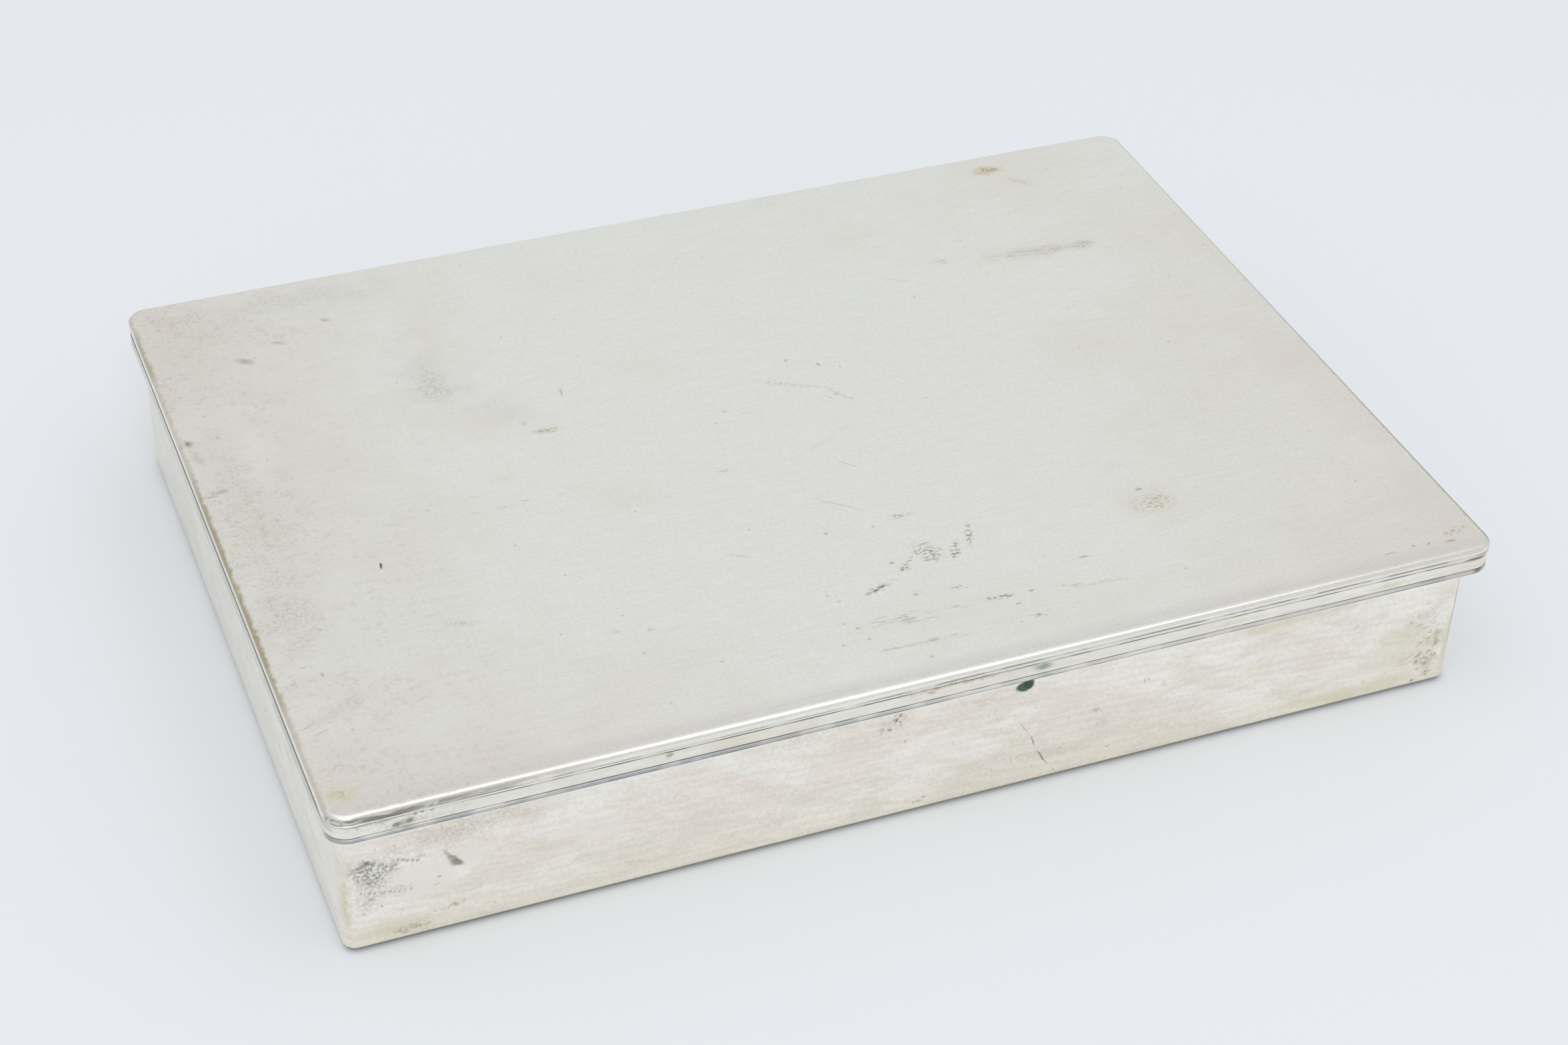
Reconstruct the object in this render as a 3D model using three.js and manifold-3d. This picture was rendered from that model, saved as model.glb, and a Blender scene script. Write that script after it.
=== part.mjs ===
// A table cigarette box: a drawn metal tray lined with cedar, under a flat overhanging lid on a barrel hinge.
// Millimetres, +Z up. The front is -Y and the hinge is along the back. The origin is on the table, under the
// middle of the lid.
import * as THREE from "three";
import { mergeVertices } from "three/addons/utils/BufferGeometryUtils.js";
import Module from "manifold-3d";

const wasm = await Module();
wasm.setup();

// Outside of the box
const LID_LENGTH = 185;
const LID_WIDTH = 134;
const LID_CORNER = 3.5; // plan radius
const OVERHANG = 2.9; // lid past the body's front and back walls
const END_OVERHANG = 2.2; // lid past the body's end walls, before the lid's side shift
const LID_SHIFT = 0.5; // the lid sits this far to the right of the body's middle
const JOINT_HEIGHT = 23.6; // table to the underside of the lid
const BODY_CORNER = 2; // plan radius
const FOOT_ROUND = 0.7; // rounding between walls and bottom

// Sheet metal and felt
const BODY_SHEET = 0.8;
const FELT = 0.3;
const FELT_INSET = 2.2; // felt's edge inside the body's outline
const FELT_CORNER = 1.5; // plan radius

// Lid
const PLATE_EDGE = 1.6; // height of the plate's rolled edge
const PLATE_ROUND = 0.9; // rounding of the rolled edge, on top
const PLATE_SHEET = 0.9;
const PLATE_BORDER = 2.4; // width of the rolled edge, seen from below
const RIM_HEIGHT = 3.3; // underside of the lid to the plate
const RIM_SHEET = 0.8;
const RIM_RECESS = 0.35; // band behind the plate's edge
const BEAD_HEIGHT = 0.8;
const BEAD_PROUD = 0.28; // bead in front of the band
const BEAD_ROUND = 0.36; // rounding of the bead, up and down

// Cedar lining
const FLOOR_BOARD = 2.2;
const SIDE_BOARD = 2.5;
const DIVIDER = 3;
const DIVIDER_DROP = 3; // divider's top edge below the side boards
const HOUSING = 0.8; // depth of the grooves that hold the divider
const LINING_PROUD = 1.2; // side boards above the body's rim

// Hinge
const KNUCKLE_COUNT = 7; // odd, so that both end tubes belong to the body
const HINGE_INSET = 19; // each end of the hinge from the body's end
const KNUCKLE_RADIUS = 1.2;
const PIN_RADIUS = 0.6;
const BEARER_HEIGHT = 3.5;

// Clearances
const SEAT_GAP = 0.1; // lid above the body's rim
const GLUE_LINE = 0.05; // glued and soldered faces
const BOARD_GAP = 0.1; // lining boards to walls and to each other
const LOCATING_GAP = 0.3; // lid's flange round the lining
const KNUCKLE_GAP = 0.15; // between the ends of two tubes
const PIN_GAP = 0.05; // pin in its tubes, all round
const NOTCH_GAP = 0.3; // round the hinge in the wall and in the flange

// Facets and the overshoot of cutting tools
const CORNER_STEPS = 4;
const ROUND_STEPS = 4;
const TUBE_SIDES = 24;
const SHARPEST_CORNER = 0.3; // least plan radius of an inset outline
const PAST = 1;

// Derived sizes of the body
const bodyLength = LID_LENGTH - 2 * END_OVERHANG;
const bodyWidth = LID_WIDTH - 2 * OVERHANG;
const backFace = bodyWidth / 2;
const rimZ = JOINT_HEIGHT - SEAT_GAP;
const floorZ = FELT + GLUE_LINE + BODY_SHEET;
const boardsZ = floorZ + GLUE_LINE + FLOOR_BOARD + GLUE_LINE;
const boardsTop = JOINT_HEIGHT + LINING_PROUD;
const innerLength = bodyLength - 2 * BODY_SHEET;
const innerWidth = bodyWidth - 2 * BODY_SHEET;
const liningLength = innerLength - 2 * BOARD_GAP;
const liningWidth = innerWidth - 2 * BOARD_GAP;
const liningCorner = insetCorner(BODY_CORNER, BODY_SHEET + BOARD_GAP);
const bayWidth = liningWidth - 2 * SIDE_BOARD; // clear width between the front and back boards

// Derived sizes of the lid
const plateZ = JOINT_HEIGHT + RIM_HEIGHT;
const bandInside = RIM_RECESS + RIM_SHEET; // inner face of the band, from the lid's outline
const flangeTop = JOINT_HEIGHT + RIM_SHEET;
const flangeInside = BODY_SHEET + BOARD_GAP - LOCATING_GAP; // inner edge of the flange, from the body's outline

// Derived sizes of the hinge: its tubes lie flush with the wall's inner face and with the flange's upper face
const hingeY = backFace - BODY_SHEET + KNUCKLE_RADIUS;
const hingeZ = flangeTop - KNUCKLE_RADIUS;
const hingeLength = bodyLength - 2 * HINGE_INSET;
const knuckleLength = (hingeLength - (KNUCKLE_COUNT - 1) * KNUCKLE_GAP) / KNUCKLE_COUNT;
const notchLength = hingeLength + 2 * NOTCH_GAP;
const bearerTop = hingeZ - KNUCKLE_RADIUS - NOTCH_GAP;
const bearerBottom = bearerTop - BEARER_HEIGHT;

// Finishes
const plated = (roughness) =>
  new THREE.MeshStandardMaterial({ color: 0xd3d0c6, metalness: 1, roughness });
const SILVER = plated(0.38);
const SILVER_EDGE = plated(0.28);
const TUBE_METAL = new THREE.MeshStandardMaterial({ color: 0xbfb9a8, metalness: 1, roughness: 0.42 });
const CEDAR = new THREE.MeshStandardMaterial({ color: 0xa8703f, metalness: 0, roughness: 0.72 });
const BAIZE = new THREE.MeshStandardMaterial({ color: 0x22261f, metalness: 0, roughness: 0.95 });

// Rounded rectangle centred on the origin.
function roundedRectangle(length, width, corner) {
  const x = length / 2 - corner;
  const y = width / 2 - corner;
  const quarter = Math.PI / 2;
  return new THREE.Shape()
    .absarc(x, y, corner, 0, quarter)
    .absarc(-x, y, corner, quarter, 2 * quarter)
    .absarc(-x, -y, corner, 2 * quarter, 3 * quarter)
    .absarc(x, -y, corner, 3 * quarter, 4 * quarter)
    .closePath();
}

// Upright slab of a plan between two heights, with its upper and lower edges rounded where asked.
function slab(plan, low, high, roundOut = 0, roundUp = roundOut) {
  const geometry = new THREE.ExtrudeGeometry(plan, {
    depth: high - low - 2 * roundUp,
    curveSegments: CORNER_STEPS,
    bevelEnabled: roundOut > 0,
    bevelSize: roundOut,
    bevelOffset: -roundOut,
    bevelThickness: roundUp,
    bevelSegments: ROUND_STEPS,
  });
  return geometry.translate(0, 0, low + roundUp);
}

// Plan radius of an outline that is drawn in by an inset.
function insetCorner(corner, inset) {
  return Math.max(corner - inset, SHARPEST_CORNER);
}

// Slab whose plan is the lid's or the body's outline, drawn in by an inset.
function lidSlab(inset, low, high, roundOut, roundUp) {
  const corner = insetCorner(LID_CORNER, inset);
  const plan = roundedRectangle(LID_LENGTH - 2 * inset, LID_WIDTH - 2 * inset, corner);
  return slab(plan, low, high, roundOut, roundUp);
}
function bodySlab(inset, low, high, roundOut, roundUp) {
  const corner = insetCorner(BODY_CORNER, inset);
  const plan = roundedRectangle(bodyLength - 2 * inset, bodyWidth - 2 * inset, corner);
  return slab(plan, low, high, roundOut, roundUp);
}

// Box given by its lowest and highest corners.
function block(low, high) {
  const size = high.map((value, i) => value - low[i]);
  const middle = high.map((value, i) => (value + low[i]) / 2);
  return new THREE.BoxGeometry(...size).translate(...middle);
}

// Round bar along X, centred on the origin.
function bar(radius, length) {
  return new THREE.CylinderGeometry(radius, radius, length, TUBE_SIDES).rotateZ(Math.PI / 2);
}

// Closed geometry as a solid for joining and cutting, and back.
function solid(geometry) {
  const bare = geometry.clone();
  bare.deleteAttribute("normal");
  bare.deleteAttribute("uv");
  const merged = mergeVertices(bare, 1e-4);
  return new wasm.Manifold(
    new wasm.Mesh({
      numProp: 3,
      vertProperties: new Float32Array(merged.attributes.position.array),
      triVerts: new Uint32Array(merged.index.array),
    }),
  );
}
function geometryOf(made) {
  const { vertProperties, triVerts } = made.getMesh();
  const geometry = new THREE.BufferGeometry();
  geometry.setAttribute("position", new THREE.BufferAttribute(vertProperties, 3));
  geometry.setIndex(new THREE.BufferAttribute(triVerts, 1));
  geometry.computeVertexNormals();
  return geometry;
}
function cut(base, ...tools) {
  const made = tools.reduce((rest, tool) => rest.subtract(solid(tool)), solid(base));
  return geometryOf(made);
}
function join(first, second) {
  return geometryOf(solid(first).add(solid(second)));
}

function mesh(name, geometry, material) {
  const piece = new THREE.Mesh(geometry, material);
  piece.name = name;
  return piece;
}

// Drawn tray. Its back wall is notched for the hinge and for the strip that carries it.
function bodyShell() {
  const outside = bodySlab(0, FELT + GLUE_LINE, rimZ + 2 * FOOT_ROUND, FOOT_ROUND);
  const above = bodySlab(0, rimZ, rimZ + 2 * FOOT_ROUND + PAST);
  const inside = bodySlab(BODY_SHEET, floorZ, rimZ + PAST);
  const notch = block(
    [-notchLength / 2, backFace - BODY_SHEET - PAST, bearerBottom - GLUE_LINE],
    [notchLength / 2, backFace + PAST, rimZ + PAST],
  );
  return mesh("body_shell", cut(outside, above, inside, notch), SILVER);
}

function baseFelt() {
  const plan = roundedRectangle(bodyLength - 2 * FELT_INSET, bodyWidth - 2 * FELT_INSET, FELT_CORNER);
  return mesh("base_felt", slab(plan, 0, FELT), BAIZE);
}

function floorLiner() {
  const plan = roundedRectangle(liningLength, liningWidth, liningCorner);
  const low = floorZ + GLUE_LINE;
  return mesh("floor_liner", slab(plan, low, low + FLOOR_BOARD), CEDAR);
}

// Plan of the board inside the front wall: rounded into the tray's corners, grooved for the divider.
function longBoardPlan() {
  const x = liningLength / 2;
  const outer = -liningWidth / 2;
  const inner = outer + SIDE_BOARD;
  const groove = DIVIDER / 2 + BOARD_GAP;
  const quarter = Math.PI / 2;
  return new THREE.Shape()
    .moveTo(x, inner)
    .lineTo(groove, inner)
    .lineTo(groove, inner - HOUSING)
    .lineTo(-groove, inner - HOUSING)
    .lineTo(-groove, inner)
    .lineTo(-x, inner)
    .absarc(-x + liningCorner, outer + liningCorner, liningCorner, 2 * quarter, 3 * quarter)
    .absarc(x - liningCorner, outer + liningCorner, liningCorner, 3 * quarter, 4 * quarter)
    .closePath();
}

function longLiner(name, turn) {
  const board = slab(longBoardPlan(), boardsZ, boardsTop).rotateZ(turn);
  return mesh(name, board, CEDAR);
}

// Board inside an end wall, between the front and back boards.
function endLiner(name, side) {
  const outer = (side * liningLength) / 2;
  const inner = outer - side * SIDE_BOARD;
  const y = bayWidth / 2 - BOARD_GAP;
  const board = block([Math.min(outer, inner), -y, boardsZ], [Math.max(outer, inner), y, boardsTop]);
  return mesh(name, board, CEDAR);
}

function divider() {
  const y = bayWidth / 2 + HOUSING - BOARD_GAP;
  const board = block([-DIVIDER / 2, -y, boardsZ], [DIVIDER / 2, y, boardsTop - DIVIDER_DROP]);
  return mesh("divider", board, CEDAR);
}

function hingeBearer() {
  const x = notchLength / 2 - GLUE_LINE;
  const strip = block([-x, backFace - BODY_SHEET, bearerBottom], [x, backFace, bearerTop]);
  return mesh("hinge_bearer", strip, SILVER);
}

// Hinge tube around the axis, with a leaf given by its corners in the section, across and up.
function knuckle(name, leafLow, leafHigh) {
  const x = knuckleLength / 2;
  const leaf = block([-x, ...leafLow], [x, ...leafHigh]);
  const tube = join(bar(KNUCKLE_RADIUS, knuckleLength), leaf);
  const bore = bar(PIN_RADIUS + PIN_GAP, knuckleLength + 2 * PAST);
  return mesh(name, cut(tube, bore), TUBE_METAL);
}

// The body's leaf stands on the bearer, in the thickness of the wall.
function bodyKnuckle(name) {
  const low = [-KNUCKLE_RADIUS, bearerTop + GLUE_LINE - hingeZ];
  const high = [-KNUCKLE_RADIUS + BODY_SHEET, 0];
  return knuckle(name, low, high);
}

// The lid's leaf runs up the inside of the rim's band to the plate.
function lidKnuckle(name) {
  const band = LID_WIDTH / 2 - bandInside - GLUE_LINE - hingeY;
  const front = Math.min(band - RIM_SHEET, KNUCKLE_RADIUS / 2);
  const low = [front, JOINT_HEIGHT - hingeZ];
  const high = [band, plateZ - GLUE_LINE - hingeZ];
  return knuckle(name, low, high);
}

// Tubes along the hinge line, for the body and the lid in turn.
function hingeTubes() {
  const pitch = knuckleLength + KNUCKLE_GAP;
  const ofBody = [];
  const ofLid = [];
  for (let i = 0; i < KNUCKLE_COUNT; i++) {
    const forBody = i % 2 === 0;
    const list = forBody ? ofBody : ofLid;
    const number = list.length + 1;
    const tube = forBody ? bodyKnuckle(`body_knuckle_${number}`) : lidKnuckle(`lid_knuckle_${number}`);
    tube.position.x = (i - (KNUCKLE_COUNT - 1) / 2) * pitch;
    list.push(tube);
  }
  return { ofBody, ofLid };
}

// Rolled edge all round, with the thinner sheet of the top inside it.
function lidTop() {
  const top = plateZ + PLATE_EDGE;
  const plate = lidSlab(0, plateZ - 2 * PLATE_ROUND, top, PLATE_ROUND);
  const below = lidSlab(0, plateZ - 2 * PLATE_ROUND - PAST, plateZ + GLUE_LINE);
  const underside = lidSlab(PLATE_BORDER, plateZ - PAST, top - PLATE_SHEET);
  return mesh("lid_top", cut(plate, below, underside), SILVER);
}

// Edge moulding: band, bead and the flange that rests on the body, left open for the hinge at the back.
function lidRim() {
  const band = lidSlab(RIM_RECESS, JOINT_HEIGHT, plateZ);
  const beadTop = JOINT_HEIGHT + BEAD_HEIGHT;
  const bead = lidSlab(RIM_RECESS - BEAD_PROUD, JOINT_HEIGHT, beadTop, BEAD_PROUD, BEAD_ROUND);
  const hollow = lidSlab(bandInside, flangeTop, plateZ + PAST);
  const mouth = bodySlab(flangeInside, JOINT_HEIGHT - PAST, flangeTop + PAST).translate(-LID_SHIFT, 0, 0);
  const notch = block(
    [-LID_SHIFT - notchLength / 2, backFace - flangeInside - PAST, JOINT_HEIGHT - PAST],
    [-LID_SHIFT + notchLength / 2, LID_WIDTH / 2 - bandInside, flangeTop + PAST],
  );
  const tubeWay = bar(KNUCKLE_RADIUS + NOTCH_GAP, notchLength).translate(-LID_SHIFT, hingeY, hingeZ);
  return mesh("lid_rim", cut(join(band, bead), hollow, mouth, notch, tubeWay), SILVER_EDGE);
}

const tubes = hingeTubes();

const bodyHinge = new THREE.Group().add(...tubes.ofBody);
bodyHinge.add(mesh("hinge_pin", bar(PIN_RADIUS, hingeLength), TUBE_METAL));
bodyHinge.position.set(0, hingeY, hingeZ);

const body = new THREE.Group().add(
  bodyShell(),
  baseFelt(),
  floorLiner(),
  longLiner("front_liner", 0),
  longLiner("back_liner", Math.PI),
  endLiner("left_liner", -1),
  endLiner("right_liner", 1),
  divider(),
  hingeBearer(),
  bodyHinge,
);
body.position.x = -LID_SHIFT;

const lidHinge = new THREE.Group().add(...tubes.ofLid);
lidHinge.position.set(-LID_SHIFT, hingeY, hingeZ);

const lid = new THREE.Group().add(lidTop(), lidRim(), lidHinge);

const cigaretteBox = new THREE.Group().add(body, lid);

export default cigaretteBox;
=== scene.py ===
"""A silver-plated table box for cigarettes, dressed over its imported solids.

Lengths are in millimetres unless a name says otherwise. The front is -Y and the hinge runs along the back.
"""

import logging
import math
from dataclasses import dataclass, field, replace
from enum import Enum
from functools import cache
from typing import Optional, Sequence, Union

import bmesh
import bpy
import numpy as np
from mathutils import Matrix, Vector


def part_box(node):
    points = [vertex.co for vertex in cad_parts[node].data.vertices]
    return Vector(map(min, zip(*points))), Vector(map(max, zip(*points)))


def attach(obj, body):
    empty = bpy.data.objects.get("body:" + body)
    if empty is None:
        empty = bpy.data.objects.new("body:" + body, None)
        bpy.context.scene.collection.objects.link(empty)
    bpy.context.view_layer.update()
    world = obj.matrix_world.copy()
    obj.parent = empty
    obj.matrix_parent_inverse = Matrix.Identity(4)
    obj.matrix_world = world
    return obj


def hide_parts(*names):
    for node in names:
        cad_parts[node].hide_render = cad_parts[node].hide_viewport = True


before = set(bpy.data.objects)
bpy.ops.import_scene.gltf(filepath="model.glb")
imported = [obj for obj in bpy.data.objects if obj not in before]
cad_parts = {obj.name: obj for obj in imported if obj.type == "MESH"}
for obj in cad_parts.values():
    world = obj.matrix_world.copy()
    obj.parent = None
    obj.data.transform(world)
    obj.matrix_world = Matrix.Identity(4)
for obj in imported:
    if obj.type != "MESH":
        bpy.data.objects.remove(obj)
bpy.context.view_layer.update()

LOG = logging.getLogger("table_box")
MM = 0.001  # metres in a millimetre
WELD = 0.001  # points closer than this become one
CRISP = 38.0  # edges that turn by more degrees than this stay crisp, where a piece has no value of its own
UPRIGHT = Vector((0.0, 0.0, 1.0))

Pair = tuple[float, float]
Colour = tuple[float, float, float]
Profile = list[Pair]
Socket = bpy.types.NodeSocket
Feed = Union[float, Sequence[float], Socket]


# Shapes


@dataclass(frozen=True)
class Span:
    """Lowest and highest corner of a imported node, in millimetres."""

    low: np.ndarray
    high: np.ndarray

    @classmethod
    def of(cls, node: str) -> "Span":
        """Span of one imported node."""
        low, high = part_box(node)
        return cls(np.array(low) / MM, np.array(high) / MM)

    @property
    def size(self) -> np.ndarray:
        """Length, width and height."""
        return self.high - self.low

    @property
    def middle(self) -> np.ndarray:
        """Point halfway between the corners."""
        return (self.high + self.low) / 2


def packed(node: str) -> Span:
    """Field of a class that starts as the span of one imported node."""
    return field(default_factory=lambda: Span.of(node))


def ease(value: np.ndarray, start: float, end: float) -> np.ndarray:
    """Smooth step from 0 at start to 1 at end."""
    share = np.clip((value - start) / (end - start), 0.0, 1.0)
    return share * share * (3.0 - 2.0 * share)


def ripple(across: np.ndarray, along: np.ndarray, pitch: float, seed: int) -> np.ndarray:
    """Smooth uneven field of a few crossing waves.

    Args:
        across: First coordinate of the points.
        along: Second coordinate of the points.
        pitch: Usual distance from crest to crest.
        seed: Choice of directions and phases.

    Returns:
        Heights from 0 to 1.
    """
    draw = np.random.default_rng(seed)
    waves = 5
    shortest, longest = 0.7 * pitch, 1.6 * pitch
    total = np.zeros(len(across))
    for _ in range(waves):
        turn = draw.uniform(0.0, math.pi)
        phase = draw.uniform(0.0, 2.0 * math.pi)
        rate = 2.0 * math.pi / draw.uniform(shortest, longest)
        total += np.sin(rate * (across * math.cos(turn) + along * math.sin(turn)) + phase)
    return (1.0 + total / waves) / 2.0


def arc(middle: Pair, reach: Pair, start: float, end: float, steps: int) -> Profile:
    """Points of an elliptic arc in a section, from one angle in degrees to another."""
    turns = np.radians(np.linspace(start, end, steps + 1))
    return [(middle[0] + reach[0] * math.cos(a), middle[1] + reach[1] * math.sin(a)) for a in turns]


def link(name: str, data: bpy.types.ID) -> bpy.types.Object:
    """Puts a new object into the scene.

    Args:
        name: Its name.
        data: Its mesh, lamp or camera.

    Returns:
        The new object.
    """
    made = bpy.data.objects.new(name, data)
    bpy.context.scene.collection.objects.link(made)
    return made


def shade(mesh: bpy.types.Mesh, crisp: float) -> None:
    """Shades a mesh softly, apart from edges that turn by more degrees than crisp."""
    mesh.polygons.foreach_set("use_smooth", [True] * len(mesh.polygons))
    mesh.set_sharp_from_angle(angle=math.radians(crisp))


def settle(mesh: bpy.types.Mesh, crisp: float = CRISP, melt: bool = False) -> None:
    """Welds a mesh, turns its faces outwards and shades it.

    Args:
        mesh: The mesh.
        crisp: Edges that turn by more degrees than this stay crisp.
        melt: Whether faces without area are taken out.
    """
    form = bmesh.new()
    form.from_mesh(mesh)
    bmesh.ops.remove_doubles(form, verts=form.verts, dist=WELD * MM)
    if melt:
        bmesh.ops.dissolve_degenerate(form, edges=form.edges, dist=WELD * MM)
    bmesh.ops.recalc_face_normals(form, faces=form.faces)
    form.to_mesh(mesh)
    form.free()
    shade(mesh, crisp)


def bake(piece: bpy.types.Object, modifier: bpy.types.Modifier) -> None:
    """Keeps what a modifier makes of a piece as the piece's own mesh.

    Args:
        piece: The piece.
        modifier: Its modifier, which is taken off again.
    """
    bpy.context.view_layer.update()
    graph = bpy.context.evaluated_depsgraph_get()
    mesh = bpy.data.meshes.new_from_object(piece.evaluated_get(graph), depsgraph=graph)
    piece.modifiers.remove(modifier)
    piece.data = mesh


def cut_away(piece: bpy.types.Object, low: np.ndarray, high: np.ndarray) -> None:
    """Cuts a block out of a piece.

    Args:
        piece: The piece.
        low: The block's lowest corner.
        high: Its highest corner.
    """
    mesh = bpy.data.meshes.new("cutter")
    form = bmesh.new()
    bmesh.ops.create_cube(form, size=1.0)
    for vert in form.verts:
        vert.co = Vector((low + (np.array(vert.co) + 0.5) * (high - low)) * MM)
    form.to_mesh(mesh)
    form.free()
    block = link("cutter", mesh)
    modifier = piece.modifiers.new("notch", "BOOLEAN")
    modifier.operation = "DIFFERENCE"
    modifier.solver = "EXACT"
    modifier.object = block
    bake(piece, modifier)
    bpy.data.objects.remove(block)
    bpy.data.meshes.remove(mesh)


def wire(name: str, points: np.ndarray, closed: bool) -> bpy.types.Object:
    """Chain of edges, for a tree to sweep.

    Args:
        name: Name of the new piece.
        points: The chain's points.
        closed: Whether the last point joins the first.

    Returns:
        The new piece.
    """
    edges = [(i, i + 1) for i in range(len(points) - 1)]
    if closed:
        edges.append((len(points) - 1, 0))
    mesh = bpy.data.meshes.new(name)
    mesh.from_pydata((points * MM).tolist(), edges, [])
    return link(name, mesh)


class Skin:
    """Surface of a piece while it is made: points in millimetres, and faces."""

    def __init__(self) -> None:
        """Starts with nothing."""
        self.points = np.zeros((0, 3))
        self.faces: list[tuple[int, ...]] = []

    def add(self, points: np.ndarray) -> list[int]:
        """Adds points.

        Args:
            points: Their places.

        Returns:
            The numbers that they got.
        """
        start = len(self.points)
        self.points = np.vstack([self.points, points])
        return list(range(start, start + len(points)))

    def loft(self, rings: Sequence[np.ndarray]) -> list[list[int]]:
        """Joins closed rings, each to the next, with a band of faces.

        Args:
            rings: Rings with as many points as each other.

        Returns:
            The rings' point numbers.
        """
        rows = [self.add(ring) for ring in rings]
        for near, far in zip(rows, rows[1:]):
            for i, corner in enumerate(near):
                after = (i + 1) % len(near)
                self.faces.append((corner, near[after], far[after], far[i]))
        return rows

    def solid(self, rings: Sequence[np.ndarray]) -> None:
        """Joins closed rings, and closes the first and the last with a flat face."""
        rows = self.loft(rings)
        self.faces.extend([tuple(rows[0]), tuple(rows[-1])])

    def sheet(self, rows: Sequence[np.ndarray]) -> None:
        """Fills a grid of points with faces.

        Args:
            rows: Rows with as many points as each other.
        """
        lines = [self.add(row) for row in rows]
        for near, far in zip(lines, lines[1:]):
            for i in range(len(near) - 1):
                self.faces.append((near[i], near[i + 1], far[i + 1], far[i]))

    def piece(self, name: str, crisp: float = CRISP) -> bpy.types.Object:
        """Welds the surface and puts it into the scene.

        Args:
            name: Name of the new piece.
            crisp: Edges that turn by more degrees than this stay crisp.

        Returns:
            The new piece.
        """
        mesh = bpy.data.meshes.new(name)
        mesh.from_pydata((self.points * MM).tolist(), [], self.faces)
        settle(mesh, crisp, melt=True)
        return link(name, mesh)


@dataclass(frozen=True)
class Outline:
    """Rounded rectangle seen from above, and how closely its points are set."""

    length: float
    width: float
    corner: float
    middle: float = 0.0
    step: float = 2.0
    bend: int = 10
    dense: Optional[tuple[float, float, float]] = None  # from, to and step of a closer stretch along X

    def stations(self, side: float) -> np.ndarray:
        """Places of the points along a side.

        Args:
            side: The side's length.

        Returns:
            Places between -1 and 1, without the ends.
        """
        even = np.linspace(-1.0, 1.0, max(round(side / self.step), 2) + 1)[1:-1]
        if self.dense is None or side != self.length:
            return even
        start, end, step = self.dense
        half = self.length / 2 - self.corner
        near = np.arange(start, end, step) / half
        apart = [place for place in even if place < near[0] or place > near[-1]]
        return np.sort(np.concatenate([apart, near]))

    def reach(self, inset: float) -> tuple[float, float, float]:
        """Half length and half width between the corners' middles, and the corners' radius."""
        corner = max(self.corner - inset, 0.0)
        return self.length / 2 - inset - corner, self.width / 2 - inset - corner, corner

    def ring(self, inset: float, height: float) -> np.ndarray:
        """Points round the outline, anticlockwise from the front right corner.

        Args:
            inset: How far the outline is drawn in.
            height: Height of the ring.

        Returns:
            The points in their order.
        """
        half_x, half_y, corner = self.reach(inset)
        along = self.stations(self.length) * half_x
        across = self.stations(self.width) * half_y
        edge_x, edge_y = half_x + corner, half_y + corner
        sides = [
            np.column_stack([np.full(len(across), edge_x), across]),
            np.column_stack([along[::-1], np.full(len(along), edge_y)]),
            np.column_stack([np.full(len(across), -edge_x), across[::-1]]),
            np.column_stack([along, np.full(len(along), -edge_y)]),
        ]
        signs = [(1, -1), (1, 1), (-1, 1), (-1, -1)]
        parts = []
        for quarter, ((sign_x, sign_y), side) in enumerate(zip(signs, sides)):
            turns = np.radians(np.linspace(-90.0, 0.0, self.bend + 1) + 90.0 * quarter)
            bend_x = sign_x * half_x + corner * np.cos(turns)
            bend_y = sign_y * half_y + corner * np.sin(turns)
            parts.extend([np.column_stack([bend_x, bend_y]), side])
        flat = np.vstack(parts)
        return np.column_stack([flat[:, 0] + self.middle, flat[:, 1], np.full(len(flat), height)])

    def rings(self, profile: Profile) -> list[np.ndarray]:
        """One ring for the inset and height of each point of a profile."""
        return [self.ring(inset, height) for inset, height in profile]

    def grid(self, height: float) -> list[np.ndarray]:
        """Rows of points along X, inside the corners' middles.

        Args:
            height: Height of the points.

        Returns:
            The rows, from front to back.
        """
        half_x, half_y, _ = self.reach(self.corner)
        xs = np.concatenate([[-1.0], self.stations(self.length), [1.0]]) * half_x + self.middle
        ys = np.concatenate([[-1.0], self.stations(self.width), [1.0]]) * half_y
        return [np.column_stack([xs, np.full(len(xs), y), np.full(len(xs), height)]) for y in ys]


# Node trees


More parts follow.
